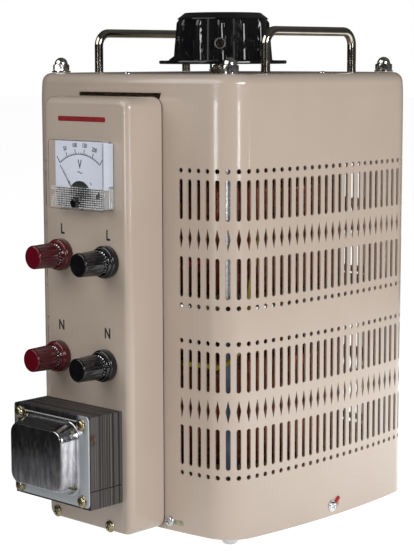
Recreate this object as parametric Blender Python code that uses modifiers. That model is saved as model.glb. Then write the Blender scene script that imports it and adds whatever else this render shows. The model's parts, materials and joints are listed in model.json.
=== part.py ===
"""Two-gang bench variable autotransformer (variac) in a vented steel case.

Metres, +Z up. The origin is where the shaft's axis crosses the underside of
the base tray. -Y is the front, which carries the terminal box.
"""

from math import acos, cos, pi, radians, sin

import bmesh
import bpy
from mathutils import Matrix, Vector

MM = 0.001
GAP = 0.3 * MM
CLEAR = 0.35 * MM

# Case: a square plan with bowed walls and round corners.
CASE_WIDTH = 250 * MM
CASE_HEIGHT = 370 * MM
CORNER_RADIUS = 29 * MM
WALL_TURN = radians(7.6)
SHEET = 1.5 * MM
TOP_EDGE_RADIUS = 9 * MM
TRAY_HEIGHT = 14 * MM
TRAY_SHEET = 2 * MM

# Screw that fixes the case to the tray on the right: y and z of its axis.
CASE_SCREW_SPOT = (-0.4 * MM, 8.6 * MM)
CASE_SCREW_RADIUS = 1.8 * MM

# Tie rods, their nuts and the carrying handles.
ROD_SPOT = 98.5 * MM
ROD_RADIUS = 4 * MM
FOOT_HEIGHT = 7 * MM
FOOT_RADIUS = 6.8 * MM
FOOT_SEAT_DEPTH = 0.4 * MM
WASHER_RADIUS = 8 * MM
NUT_HALF_FLATS = 6.4 * MM
HANDLE_SPOT = 97.5 * MM
HANDLE_SPAN = 110 * MM
HANDLE_RADIUS = 3.75 * MM
HANDLE_RISE = 34 * MM
HANDLE_BEND = 11 * MM

# Shaft, bearings and knob.
SHAFT_RADIUS = 5 * MM
SHAFT_FOOT = 6 * MM
SHAFT_HEAD = CASE_HEIGHT + 40 * MM
GLAND_RADIUS = 8.6 * MM
GLAND_HOLE = 9.2 * MM
FLANGE_RADIUS = 55 * MM
FLANGE_BOTTOM = CASE_HEIGHT + 7.3 * MM
FLANGE_THICK = 3 * MM
DRUM_RADIUS = 42.3 * MM
DRUM_TOP_RADIUS = 40 * MM
KNOB_TOP = CASE_HEIGHT + 50.7 * MM
KNOB_CHAMFER = 7.2 * MM
KNOB_BOSS = 13 * MM
POINTER_REACH = 53 * MM
POINTER_RISE = 4.5 * MM
POINTER_ANGLE = radians(-106.6)

# The two transformer gangs.
GANG_FLOORS = {"lower": 47 * MM, "upper": 190 * MM}
WINDING_OUTER = 101 * MM
WINDING_INNER = 57 * MM
WINDING_HEIGHT = 94 * MM
WINDING_THICK = 3 * MM
PLATE_THICK = 5 * MM
PLATE_HALF = 108 * MM
TAP_GAP_ANGLE = radians(-165)
BRUSH_SPOT = 82 * MM
BRUSH_HALF = (7 * MM, 5 * MM)
BRUSH_HEIGHT = 14 * MM
BRUSH_GRIP = 4 * MM
ARM_THICK = 8 * MM

# Terminal box, a drawn cover that stands against the front wall.
BOX_LEFT = -51 * MM
BOX_RIGHT = 49 * MM
BOX_BOTTOM = 1 * MM
BOX_TOP = 352 * MM
BOX_FACE = -162 * MM
BOX_CORNER = 9 * MM
BOX_EDGE = 6 * MM
WINDOW_TOP = BOX_TOP + 3.5 * MM

# Panel meter.
METER_CENTRE = (0.8 * MM, 290.5 * MM)
METER_WIDTH = 65 * MM
METER_HEIGHT = 56.5 * MM
METER_RISE = 12 * MM
METER_BARREL = 26 * MM
NEEDLE_PIVOT = (-1 * MM, 268 * MM)
NEEDLE_LENGTH = 37 * MM
NEEDLE_REST = radians(127)
ZERO_RADIUS = 3.5 * MM

# Binding posts: name, x, z of each axis, and the colour of its mouldings.
POSTS = (
    ("input_live", -28.7 * MM, 224 * MM, "post_red"),
    ("output_live", 25.3 * MM, 222.3 * MM, "post_black"),
    ("input_neutral", -32.7 * MM, 139.5 * MM, "post_red"),
    ("output_neutral", 22.2 * MM, 138.4 * MM, "post_black"),
)
POST_BASE_RADIUS = 13 * MM
POST_BASE_RISE = 9.5 * MM
POST_CLAMP_END = 11.2 * MM
POST_CLAMP_RADIUS = 9.2 * MM
POST_CAP_RADIUS = 10.3 * MM
POST_HEIGHT = 32 * MM
STUD_RADIUS = 3 * MM

# Balancing choke: an EI core in units of a sixth of its width.
CHOKE_CENTRE_X = -4.9 * MM
CHOKE_UNIT = 15 * MM
CHOKE_BOTTOM = 28.5 * MM
CHOKE_STACK = 34.9 * MM
CHOKE_BOLT_X = 37.5 * MM
CHOKE_BOLT_Z = 30.8 * MM
CHOKE_BOLT_RADIUS = 2.2 * MM
COVER_SHEET = 1 * MM
COVER_RISE = 16.5 * MM
COVER_LIFT = 1.2 * MM
COIL_OVERHANG = 13 * MM

MATERIALS = {
    "case_paint": ((0.40, 0.33, 0.27), 0.35, 0.0),
    "zinc": ((0.62, 0.63, 0.64), 0.30, 1.0),
    "chrome": ((0.72, 0.70, 0.66), 0.12, 1.0),
    "brass": ((0.62, 0.45, 0.20), 0.30, 1.0),
    "bakelite": ((0.012, 0.012, 0.013), 0.18, 0.0),
    "post_red": ((0.28, 0.012, 0.02), 0.25, 0.0),
    "post_black": ((0.012, 0.012, 0.015), 0.25, 0.0),
    "clear_plastic": ((0.75, 0.78, 0.80), 0.08, 0.0),
    "dial_white": ((0.62, 0.66, 0.78), 0.5, 0.0),
    "core_steel": ((0.10, 0.095, 0.10), 0.45, 0.8),
    "copper_wire": ((0.30, 0.07, 0.03), 0.30, 0.6),
    "insulation": ((0.30, 0.24, 0.12), 0.6, 0.0),
    "aluminium": ((0.55, 0.56, 0.57), 0.35, 1.0),
    "carbon": ((0.02, 0.02, 0.02), 0.7, 0.2),
    "shaft_steel": ((0.35, 0.34, 0.33), 0.3, 1.0),
}


def clear_scene():
    for old in list(bpy.data.objects):
        bpy.data.objects.remove(old, do_unlink=True)


def new_collection(name):
    made = bpy.data.collections.new(name)
    bpy.context.scene.collection.children.link(made)
    return made


def material(name):
    """The named material, made on first use."""
    found = bpy.data.materials.get(name)
    if found:
        return found
    colour, roughness, metallic = MATERIALS[name]
    made = bpy.data.materials.new(name)
    made.use_nodes = True
    shader = made.node_tree.nodes["Principled BSDF"]
    shader.inputs["Base Color"].default_value = (*colour, 1.0)
    shader.inputs["Roughness"].default_value = roughness
    shader.inputs["Metallic"].default_value = metallic
    return made


def place(obj, location=(0, 0, 0), rotation=(0, 0, 0)):
    obj.location = location
    obj.rotation_euler = rotation
    return obj


def node(name, mesh, finish):
    """One named piece of the assembly."""
    mesh.materials.clear()
    mesh.materials.append(material(finish))
    mesh.shade_smooth()
    mesh.set_sharp_from_angle(angle=radians(35))
    made = bpy.data.objects.new(name, mesh)
    PARTS.objects.link(made)
    return made


def cutter(name, mesh):
    made = bpy.data.objects.new(name, mesh)
    made.hide_render = True
    made.display_type = "WIRE"
    CUTTERS.objects.link(made)
    return made


def boolean(obj, other, operation="DIFFERENCE"):
    made = obj.modifiers.new(other.name, "BOOLEAN")
    made.operation = operation
    made.object = other


def mesh_of(name, shape):
    mesh = bpy.data.meshes.new(name)
    bmesh.ops.recalc_face_normals(shape, faces=shape.faces)
    shape.to_mesh(mesh)
    shape.free()
    return mesh


def cylinder_mesh(name, radius, height, segments=24):
    """A cylinder standing on the origin."""
    shape = bmesh.new()
    bmesh.ops.create_cone(
        shape, cap_ends=True, segments=segments, radius1=radius, radius2=radius, depth=height,
        matrix=Matrix.Translation((0, 0, height / 2)),
    )
    return mesh_of(name, shape)


def box_mesh(name, low, high):
    """A box between two corners."""
    shape = bmesh.new()
    size = Vector(high) - Vector(low)
    middle = (Vector(high) + Vector(low)) / 2
    grow = Matrix.Diagonal((*size, 1.0))
    bmesh.ops.create_cube(shape, size=1.0, matrix=Matrix.Translation(middle) @ grow)
    return mesh_of(name, shape)


def turned_mesh(name, profile, closed=False):
    """A profile of (radius, height) points, ready for a Screw modifier."""
    shape = bmesh.new()
    points = [shape.verts.new((radius, 0, height)) for radius, height in profile]
    pairs = list(zip(points, points[1:]))
    if closed:
        pairs.append((points[-1], points[0]))
    for pair in pairs:
        shape.edges.new(pair)
    mesh = bpy.data.meshes.new(name)
    shape.to_mesh(mesh)
    shape.free()
    return mesh


def turn(obj, segments):
    made = obj.modifiers.new("Turn", "SCREW")
    made.steps = segments
    made.render_steps = segments
    made.use_merge_vertices = True
    made.merge_threshold = 0.00001
    made.use_smooth_shade = True
    return obj


def turned(name, profile, finish, segments=24, closed=False):
    """A turned piece. Its profile runs from top to bottom on the outer side."""
    return turn(node(name, turned_mesh(name, profile, closed), finish), segments)


def turned_cutter(name, profile, segments=24, closed=False):
    return turn(cutter(name, turned_mesh(name, profile, closed)), segments)


def loft_mesh(name, rings, cap_start=False, cap_end=True):
    """A skin over rings that hold the same number of points."""
    shape = bmesh.new()
    rows = [[shape.verts.new(point) for point in ring] for ring in rings]
    count = len(rows[0])
    for low, high in zip(rows, rows[1:]):
        for i in range(count):
            j = (i + 1) % count
            shape.faces.new((low[i], low[j], high[j], high[i]))
    if cap_start:
        shape.faces.new(rows[0])
    if cap_end:
        shape.faces.new(rows[-1])
    return mesh_of(name, shape)


def thicken(obj, thickness):
    made = obj.modifiers.new("Sheet", "SOLIDIFY")
    made.thickness = thickness
    made.offset = -1.0
    made.use_even_offset = True
    return obj


def corners():
    """The four (sign x, sign y, name) corners of the plan."""
    return ((-1, -1, "front_left"), (1, -1, "front_right"), (1, 1, "rear_right"), (-1, 1, "rear_left"))


def wall_radius():
    """The radius of the bowed walls, which meet the corner arcs smoothly."""
    reach = CASE_WIDTH / 2 - CORNER_RADIUS
    return reach / (1 - cos(WALL_TURN) + sin(WALL_TURN)) + CORNER_RADIUS


def wall_y(x, inset=0.0):
    """The front wall's outer y at a given x."""
    bow = wall_radius()
    centre = bow - CASE_WIDTH / 2
    return centre - ((bow - inset) ** 2 - x * x) ** 0.5


def case_outline(inset=0.0, wall_steps=6, corner_steps=5):
    """The plan, counterclockwise, as four bowed walls and four corner arcs."""
    bow = wall_radius()
    reach = bow - CORNER_RADIUS
    wall_centre = Vector((CASE_WIDTH / 2 - bow, 0))
    corner_centre = wall_centre + reach * Vector((cos(WALL_TURN), sin(WALL_TURN)))
    quarter = []
    for step in range(wall_steps):
        angle = WALL_TURN * (2 * step / wall_steps - 1)
        quarter.append(wall_centre + (bow - inset) * Vector((cos(angle), sin(angle))))
    for step in range(corner_steps):
        angle = WALL_TURN + (pi / 2 - 2 * WALL_TURN) * step / corner_steps
        quarter.append(corner_centre + (CORNER_RADIUS - inset) * Vector((cos(angle), sin(angle))))
    turns = [Matrix.Rotation(side * pi / 2, 2) for side in range(4)]
    return [spin @ point for spin in turns for point in quarter]


def ring_at(outline, height):
    return [(point.x, point.y, height) for point in outline]


def case_shell():
    """The one-piece painted cover, open underneath."""
    rings = [ring_at(case_outline(), GAP)]
    steps = 4
    for step in range(steps + 1):
        angle = pi / 2 * step / steps
        inset = TOP_EDGE_RADIUS * (1 - cos(angle))
        height = CASE_HEIGHT - TOP_EDGE_RADIUS * (1 - sin(angle))
        rings.append(ring_at(case_outline(inset), height))
    shell = thicken(node("case_shell", loft_mesh("case_shell", rings), "case_paint"), SHEET)
    above = 6 * MM
    below = CASE_HEIGHT - above
    hole = cutter("shaft_hole", cylinder_mesh("shaft_hole", GLAND_HOLE, 2 * above))
    boolean(shell, place(hole, (0, 0, below)))
    for sign_x, sign_y, corner in corners():
        hole = cutter("rod_hole_" + corner, cylinder_mesh("rod_hole", ROD_RADIUS + CLEAR, 2 * above, 16))
        boolean(shell, place(hole, (sign_x * ROD_SPOT, sign_y * ROD_SPOT, below)))
    window = box_mesh(
        "wiring_window",
        (BOX_LEFT + 4 * MM, -CASE_WIDTH / 2 - 9 * MM, 2 * TRAY_HEIGHT),
        (BOX_RIGHT - 4 * MM, -CASE_WIDTH / 2 + 9 * MM, WINDOW_TOP),
    )
    boolean(shell, cutter("wiring_window", window))
    case_screw_hole(shell)
    return shell


def case_screw_hole(obj):
    """Cuts the screw's clearance hole in the case or in the tray."""
    name = "screw_hole_" + obj.name
    hole = cutter(name, cylinder_mesh(name, CASE_SCREW_RADIUS + CLEAR, 12 * MM, 12))
    y, z = CASE_SCREW_SPOT
    boolean(obj, place(hole, (CASE_WIDTH / 2 - 7 * MM, y, z), (0, pi / 2, 0)))


def case_screw():
    """A pan-head screw through the case's right wall into the tray."""
    length = 6 * MM
    head = 4.4 * MM
    profile = (
        (0, length + 2.2 * MM), (2.6 * MM, length + 2 * MM), (head, length + 0.8 * MM),
        (head, length), (CASE_SCREW_RADIUS, length), (CASE_SCREW_RADIUS, 0), (0, 0),
    )
    y, z = CASE_SCREW_SPOT
    screw = turned("case_screw_right", profile, "zinc", 16)
    place(screw, (CASE_WIDTH / 2 + GAP - length, y, z), (0, pi / 2, 0))


def base_tray():
    """The tray that closes the case, with a shallow round seat for each foot nut."""
    inset = SHEET + CLEAR
    outline = case_outline(inset)
    rings = [ring_at(outline, TRAY_HEIGHT), ring_at(outline, 0)]
    tray = thicken(node("base_tray", loft_mesh("base_tray", rings), "case_paint"), TRAY_SHEET)
    length = 10 * MM
    for sign_x, sign_y, corner in corners():
        spot = Vector((sign_x * ROD_SPOT, sign_y * ROD_SPOT, 0))
        hole = cutter("tray_hole_" + corner, cylinder_mesh("tray_hole", ROD_RADIUS + CLEAR, length, 16))
        boolean(tray, place(hole, spot - Vector((0, 0, length / 2))))
        seat = cutter("foot_seat_" + corner, cylinder_mesh("foot_seat", FOOT_RADIUS + 0.5 * MM, length, 20))
        boolean(tray, place(seat, spot + Vector((0, 0, FOOT_SEAT_DEPTH - length))))
    case_screw_hole(tray)
    return tray


def tie_rods():
    """Rods from the tray to the top, domed foot nuts below and acorn nuts above."""
    foot_top = FOOT_HEIGHT - GAP
    foot = ((0, foot_top), (FOOT_RADIUS, foot_top), (FOOT_RADIUS, 3.2 * MM), (4.4 * MM, 0), (0, 0))
    for sign_x, sign_y, corner in corners():
        spot = Vector((sign_x * ROD_SPOT, sign_y * ROD_SPOT, 0))
        rod = node("tie_rod_" + corner, cylinder_mesh("tie_rod", ROD_RADIUS, CASE_HEIGHT, 16), "zinc")
        place(rod, spot)
        nut = turned("foot_nut_" + corner, foot, "zinc", 20)
        place(nut, spot - Vector((0, 0, FOOT_HEIGHT)))
        place(acorn_nut("acorn_nut_" + corner), spot + Vector((0, 0, CASE_HEIGHT + GAP)))


def acorn_nut(name):
    """A washer, a hexagon and a dome in one piece, standing on the origin."""
    washer_top = 1.4 * MM
    hex_top = 6.6 * MM
    dome = 5.7 * MM
    count = 12
    angles = [2 * pi * i / count for i in range(count)]
    circle = [(cos(angle), sin(angle)) for angle in angles]
    flats = [NUT_HALF_FLATS / cos((angle + pi / 6) % (pi / 3) - pi / 6) for angle in angles]
    rings = [[(WASHER_RADIUS * x, WASHER_RADIUS * y, z) for x, y in circle] for z in (0, washer_top)]
    for z in (washer_top + 0.05 * MM, hex_top):
        rings.append([(reach * x, reach * y, z) for reach, (x, y) in zip(flats, circle)])
    for step in range(3):
        angle = pi / 2 * step / 3
        reach = dome * cos(angle)
        height = hex_top + 0.4 * MM + dome * sin(angle)
        rings.append([(reach * x, reach * y, height) for x, y in circle])
    return node(name, loft_mesh(name, rings, cap_start=True), "chrome")


def bent_rod(name, route, radius, finish):
    """A round bar along a route of points, as a closed mesh."""
    curve = bpy.data.curves.new(name + "_route", "CURVE")
    curve.dimensions = "3D"
    curve.bevel_depth = radius
    curve.bevel_resolution = 2
    curve.use_fill_caps = True
    spline = curve.splines.new("POLY")
    spline.points.add(len(route) - 1)
    for point, spot in zip(spline.points, route):
        point.co = (*spot, 1.0)
    guide = bpy.data.objects.new(name + "_route", curve)
    PARTS.objects.link(guide)
    graph = bpy.context.evaluated_depsgraph_get()
    mesh = bpy.data.meshes.new_from_object(guide.evaluated_get(graph))
    bpy.data.objects.remove(guide, do_unlink=True)
    shape = bmesh.new()
    shape.from_mesh(mesh)
    bmesh.ops.remove_doubles(shape, verts=shape.verts, dist=0.00001)
    shape.to_mesh(mesh)
    shape.free()
    return node(name, mesh, finish)


def handle_route():
    """Up one leg, along the grip and down the other leg."""
    half = HANDLE_SPAN / 2
    foot = CASE_HEIGHT + GAP
    top = CASE_HEIGHT + HANDLE_RISE
    steps = 6
    side = [(0, -half, foot)]
    for step in range(steps + 1):
        angle = pi / 2 * step / steps
        y = -half + HANDLE_BEND * (1 - cos(angle))
        side.append((0, y, top - HANDLE_BEND * (1 - sin(angle))))
    return side + [(x, -y, z) for x, y, z in reversed(side)]


def handles():
    for sign, side in ((-1, "left"), (1, "right")):
        handle = bent_rod("carry_handle_" + side, handle_route(), HANDLE_RADIUS, "chrome")
        place(handle, (sign * HANDLE_SPOT, 0, 0))


def rounded_rectangle(low_x, high_x, low_z, high_z, radius, side_steps=1, corner_steps=3):
    """(x, z) points counterclockwise, with extra points on the level sides."""
    points = []
    centres = (
        (high_x - radius, low_z + radius, -pi / 2),
        (high_x - radius, high_z - radius, 0),
        (low_x + radius, high_z - radius, pi / 2),
        (low_x + radius, low_z + radius, pi),
    )
    for index, (x, z, start) in enumerate(centres):
        for step in range(corner_steps + 1):
            angle = start + pi / 2 * step / corner_steps
            points.append((x + radius * cos(angle), z + radius * sin(angle)))
        if index % 2:
            end = centres[(index + 1) % 4][0]
            for step in range(1, side_steps):
                points.append((x + (end - x) * step / side_steps, points[-1][1]))
    return points


def drawn_cover_rings(sides, corner, edge, face_y, back_y, side_steps=1):
    """Rings of a drawn cover: its back edge, its walls and its rounded front edge."""
    low_x, high_x, low_z, high_z = sides
    outline = rounded_rectangle(low_x, high_x, low_z, high_z, corner, side_steps)
    rings = [[(x, back_y(x), z) for x, z in outline]]
    steps = 3
    for step in range(steps + 1):
        angle = pi / 2 * step / steps
        inset = edge * (1 - cos(angle))
        inner_corner = max(corner - inset, 0.5 * MM)
        inner = rounded_rectangle(
            low_x + inset, high_x - inset, low_z + inset, high_z - inset, inner_corner, side_steps
        )
        rings.append([(x, face_y + edge * (1 - sin(angle)), z) for x, z in inner])
    return rings


def front_hole(obj, name, x, z, radius, segments=24):
    """A round hole through the terminal box's front face."""
    hole = cutter(name, cylinder_mesh(name, radius, 16 * MM, segments))
    boolean(obj, place(hole, (x, BOX_FACE + 8 * MM, z), (pi / 2, 0, 0)))


def terminal_box():
    rings = drawn_cover_rings(
        (BOX_LEFT, BOX_RIGHT, BOX_BOTTOM, BOX_TOP), BOX_CORNER, BOX_EDGE, BOX_FACE,
        lambda x: wall_y(x) - GAP, side_steps=6,
    )
    cover = thicken(node("terminal_box", loft_mesh("terminal_box", rings), "case_paint"), SHEET)
    front_hole(cover, "meter_hole", METER_CENTRE[0], METER_CENTRE[1], METER_BARREL + 0.5 * MM, 32)
    for name, x, z, _ in POSTS:
        front_hole(cover, "stud_hole_" + name, x, z, STUD_RADIUS + 0.6 * MM, 16)
    for name, x, z in choke_bolts():
        front_hole(cover, "panel_" + name, x, z, CHOKE_BOLT_RADIUS + CLEAR, 12)
    low_x, high_x, low_z, high_z = coil_sides()
    opening = box_mesh(
        "coil_opening",
        (low_x - 1 * MM, BOX_FACE - 8 * MM, low_z - 1 * MM),
        (high_x + 1 * MM, BOX_FACE + 8 * MM, high_z + 1 * MM),
    )
    boolean(cover, cutter("coil_opening", opening))
    return cover


def meter_frame():
    """The meter's black base plate and its barrel behind the panel."""
    x, z = METER_CENTRE
    inset = SHEET + CLEAR
    half_x = METER_WIDTH / 2 - inset
    half_z = METER_HEIGHT / 2 - inset
    back = BOX_FACE - GAP
    front = back - 3 * MM
    plate = box_mesh("meter_frame", (x - half_x, front, z - half_z), (x + half_x, back, z + half_z))
    frame = node("meter_frame", plate, "bakelite")
    barrel = cutter("meter_barrel", cylinder_mesh("meter_barrel", METER_BARREL, 28 * MM, 32))
    boolean(frame, place(barrel, (x, back + 26 * MM, z), (pi / 2, 0, 0)), "UNION")
    return frame


def meter_dial():
    x, z = METER_CENTRE
    inset = SHEET + 2 * CLEAR
    half_x = METER_WIDTH / 2 - inset
    half_z = METER_HEIGHT / 2 - inset
    back = BOX_FACE - 3.6 * MM
    front = back - 1.2 * MM
    plate = box_mesh("meter_dial", (x - half_x, front, z - half_z), (x + half_x, back, z + half_z))
    return node("meter_dial", plate, "dial_white")


def meter_cover():
    """The clear cover, with a round hole for the zero screw."""
    x, z = METER_CENTRE
    sides = (x - METER_WIDTH / 2, x + METER_WIDTH / 2, z - METER_HEIGHT / 2, z + METER_HEIGHT / 2)
    rings = drawn_cover_rings(
        sides, 2 * MM, 1.2 * MM, BOX_FACE - METER_RISE, lambda _: BOX_FACE - GAP
    )
    cover = thicken(node("meter_cover", loft_mesh("meter_cover", rings), "clear_plastic"), SHEET)
    hole = cutter("zero_hole", cylinder_mesh("zero_hole", ZERO_RADIUS + CLEAR, 8 * MM, 24))
    pivot_x, pivot_z = NEEDLE_PIVOT
    boolean(cover, place(hole, (pivot_x, BOX_FACE - METER_RISE + 4 * MM, pivot_z), (pi / 2, 0, 0)))
    return cover


def meter_needle():
    """Pivot boss and pointer, with its origin on the pivot's axis."""
    x, z = NEEDLE_PIVOT
    boss = node("meter_needle", cylinder_mesh("meter_needle", 2.2 * MM, 1.6 * MM, 16), "bakelite")
    place(boss, (x, BOX_FACE - 5.4 * MM, z), (pi / 2, 0, 0))
    pointer = cutter(
        "needle_pointer",
        box_mesh("needle_pointer", (1 * MM, -0.35 * MM, 0.4 * MM), (NEEDLE_LENGTH, 0.35 * MM, 1.2 * MM)),
    )
    pointer.parent = boss
    place(pointer, (0, 0, 0), (0, 0, NEEDLE_REST))
    boolean(boss, pointer, "UNION")
    return boss


def meter_zero_screw():
    """A slotted screw in the cover, on the needle's axis."""
    height = 3.2 * MM
    profile = (
        (0, height), (ZERO_RADIUS - 0.4 * MM, height), (ZERO_RADIUS, height - 0.6 * MM),
        (ZERO_RADIUS, 0), (0, 0),
    )
    screw = turned("meter_zero_screw", profile, "bakelite", 16)
    x, z = NEEDLE_PIVOT
    place(screw, (x, BOX_FACE - METER_RISE + 2.4 * MM, z), (pi / 2, 0, 0))
    slot = cutter(
        "zero_slot", box_mesh("zero_slot", (-5 * MM, -0.5 * MM, 2.2 * MM), (5 * MM, 0.5 * MM, 5 * MM))
    )
    slot.parent = screw
    place(slot, (0, 0, 0), (0, 0, radians(20)))
    boolean(screw, slot)
    return screw


def binding_post(name, x, z, finish):
    """Collar, stud, sliding clamp and screwed cap on one axis out of the box."""
    foot = (x, BOX_FACE - GAP, z)
    out = (pi / 2, 0, 0)
    bore = STUD_RADIUS + CLEAR
    rim = POST_BASE_RADIUS
    collar = (
        (bore, 6.4 * MM), (9.6 * MM, 6.4 * MM), (9.6 * MM, POST_BASE_RISE), (11.5 * MM, POST_BASE_RISE),
        (11.5 * MM, 7 * MM), (rim, 6.6 * MM), (rim, 0), (bore, 0),
    )
    place(turned("post_collar_" + name, collar, finish, 20, closed=True), foot, out)
    stud = node("post_stud_" + name, cylinder_mesh("post_stud", STUD_RADIUS, 44 * MM, 16), "brass")
    place(stud, (x, BOX_FACE + 16 * MM, z), out)
    clamp_start = 6.4 * MM + GAP
    clamp_end = POST_CLAMP_END - GAP
    clamp = (
        (bore, clamp_end), (8.6 * MM, clamp_end), (POST_CLAMP_RADIUS, clamp_end - 0.6 * MM),
        (POST_CLAMP_RADIUS, 8.4 * MM), (8.6 * MM, clamp_start), (bore, clamp_start),
    )
    place(turned("post_clamp_" + name, clamp, "zinc", 16, closed=True), foot, out)
    bore_end = POST_HEIGHT - 2.5 * MM
    cap = (
        (0, POST_HEIGHT), (8.4 * MM, POST_HEIGHT), (9.7 * MM, POST_HEIGHT - 1.3 * MM),
        (POST_CAP_RADIUS, POST_CLAMP_END + 3 * MM), (POST_CAP_RADIUS - 0.4 * MM, POST_CLAMP_END),
        (bore, POST_CLAMP_END), (bore, bore_end), (0, bore_end),
    )
    place(turned("post_cap_" + name, cap, finish, 20), foot, out)


def choke_bolts():
    """(name, x, z) of the four long bolts that clamp the core to the box."""
    middle = CHOKE_BOTTOM + 2.5 * CHOKE_UNIT
    bolts = []
    for sign_z, word_z in ((-1, "lower"), (1, "upper")):
        for sign_x, word_x in ((-1, "left"), (1, "right")):
            spot = (CHOKE_CENTRE_X + sign_x * CHOKE_BOLT_X, middle + sign_z * CHOKE_BOLT_Z)
            bolts.append((f"choke_bolt_{word_z}_{word_x}", *spot))
    return bolts


def coil_sides():
    """x and z limits of the coil, which fills the core's two windows."""
    half = 2 * CHOKE_UNIT - 1.5 * MM
    low = CHOKE_BOTTOM + CHOKE_UNIT + 0.5 * MM
    return CHOKE_CENTRE_X - half, CHOKE_CENTRE_X + half, low, low + 3 * CHOKE_UNIT - 1 * MM


def choke_back():
    return BOX_FACE - GAP


def choke_core():
    """The stack of E and I laminations, with a window each side of the middle limb."""
    back = choke_back()
    front = back - CHOKE_STACK
    half = 3 * CHOKE_UNIT
    top = CHOKE_BOTTOM + 5 * CHOKE_UNIT
    sides = (CHOKE_CENTRE_X - half, CHOKE_CENTRE_X + half)
    block = box_mesh("choke_core", (sides[0], front, CHOKE_BOTTOM), (sides[1], back, top))
    core = node("choke_core", block, "core_steel")
    low = CHOKE_BOTTOM + CHOKE_UNIT
    for sign, side in ((-1, "left"), (1, "right")):
        near = CHOKE_CENTRE_X + sign * CHOKE_UNIT
        far = CHOKE_CENTRE_X + sign * 2 * CHOKE_UNIT
        window = box_mesh(
            "choke_window_" + side,
            (min(near, far), front - 5 * MM, low), (max(near, far), back + 5 * MM, low + 3 * CHOKE_UNIT),
        )
        boolean(core, cutter("choke_window_" + side, window))
    for name, x, z in choke_bolts():
        hole = cutter("core_" + name, cylinder_mesh("core_hole", CHOKE_BOLT_RADIUS + CLEAR, 50 * MM, 12))
        boolean(core, place(hole, (x, back + 5 * MM, z), (pi / 2, 0, 0)))
    return core


def choke_coil():
    """The coil round the middle limb. It stands out of the stack front and back."""
    low_x, high_x, low_z, high_z = coil_sides()
    back = choke_back() + COIL_OVERHANG
    front = choke_back() - CHOKE_STACK - COIL_OVERHANG
    block = box_mesh("choke_coil", (low_x, front, low_z), (high_x, back, high_z))
    coil = node("choke_coil", block, "insulation")
    rounding = coil.modifiers.new("Rounding", "BEVEL")
    rounding.width = 3 * MM
    rounding.segments = 2
    limb = CHOKE_UNIT + 0.5 * MM
    stack = box_mesh(
        "limb_room",
        (CHOKE_CENTRE_X - limb, choke_back() - CHOKE_STACK - 0.5 * MM, low_z - 9 * MM),
        (CHOKE_CENTRE_X + limb, choke_back() + 0.5 * MM, high_z + 9 * MM),
    )
    boolean(coil, cutter("limb_room", stack))
    return coil


def choke_bell_cover():
    """A pressed zinc cover: a flat flange with a raised, rounded middle."""
    flange = choke_back() - CHOKE_STACK - GAP - COVER_SHEET
    half_x = 3 * CHOKE_UNIT - 0.2 * MM
    middle = CHOKE_BOTTOM + 2.5 * CHOKE_UNIT + COVER_LIFT
    half_z = 2.5 * CHOKE_UNIT - 0.6 * MM
    steps = (
        (half_x, half_z, 3 * MM, 0),
        (35.2 * MM, 30.6 * MM, 12.5 * MM, 0),
        (33.6 * MM, 29 * MM, 11.5 * MM, 1.6 * MM),
        (32.2 * MM, 27 * MM, 10 * MM, 11 * MM),
        (31 * MM, 25.6 * MM, 9 * MM, COVER_RISE - 2 * MM),
        (28.4 * MM, 23.2 * MM, 7 * MM, COVER_RISE),
    )
    rings = []
    for reach_x, reach_z, radius, rise in steps:
        outline = rounded_rectangle(
            CHOKE_CENTRE_X - reach_x, CHOKE_CENTRE_X + reach_x, middle - reach_z, middle + reach_z, radius
        )
        rings.append([(x, flange - rise, z) for x, z in outline])
    cover = thicken(node("choke_bell_cover", loft_mesh("choke_bell_cover", rings), "zinc"), COVER_SHEET)
    for name, x, z in choke_bolts():
        hole = cutter("cover_" + name, cylinder_mesh("cover_hole", CHOKE_BOLT_RADIUS + CLEAR, 12 * MM, 12))
        boolean(cover, place(hole, (x, flange + 6 * MM, z), (pi / 2, 0, 0)))
    return cover


def choke_bolt_set():
    length = CHOKE_STACK + 8 * MM
    head = 4.8 * MM
    stem = CHOKE_BOLT_RADIUS
    profile = (
        (0, length + 2.6 * MM), (2.6 * MM, length + 2.4 * MM), (head, length + 1 * MM),
        (head, length), (stem, length), (stem, 0), (0, 0),
    )
    foot = choke_back() - CHOKE_STACK - COVER_SHEET - 2 * GAP + length
    for name, x, z in choke_bolts():
        place(turned(name, profile, "brass", 16), (x, foot, z), (pi / 2, 0, 0))


def toroid_gang(gang, floor):
    """A ring core inside its winding, standing on an insulating plate."""
    thick = WINDING_THICK
    ceiling = floor + WINDING_HEIGHT
    ring = (
        (WINDING_INNER, ceiling), (WINDING_OUTER, ceiling), (WINDING_OUTER, floor), (WINDING_INNER, floor),
    )
    winding = turned("winding_" + gang, ring, "copper_wire", 36, closed=True)
    room = (
        (WINDING_INNER + thick, ceiling - thick), (WINDING_OUTER - thick, ceiling - thick),
        (WINDING_OUTER - thick, floor + thick), (WINDING_INNER + thick, floor + thick),
    )
    boolean(winding, turned_cutter("core_room_" + gang, room, 36, closed=True))
    tap_gap = box_mesh(
        "tap_gap_" + gang, (WINDING_INNER - 9 * MM, -13 * MM, floor - 9 * MM),
        (WINDING_OUTER + 9 * MM, 13 * MM, ceiling + 9 * MM),
    )
    boolean(winding, place(cutter("tap_gap_" + gang, tap_gap), (0, 0, 0), (0, 0, TAP_GAP_ANGLE)))
    rim = thick + 0.6 * MM
    core = (
        (WINDING_INNER + rim, ceiling - rim), (WINDING_OUTER - rim, ceiling - rim),
        (WINDING_OUTER - rim, floor + rim), (WINDING_INNER + rim, floor + rim),
    )
    turned("toroid_core_" + gang, core, "core_steel", 36, closed=True)
    support_plate(gang, floor - GAP - PLATE_THICK)


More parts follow.
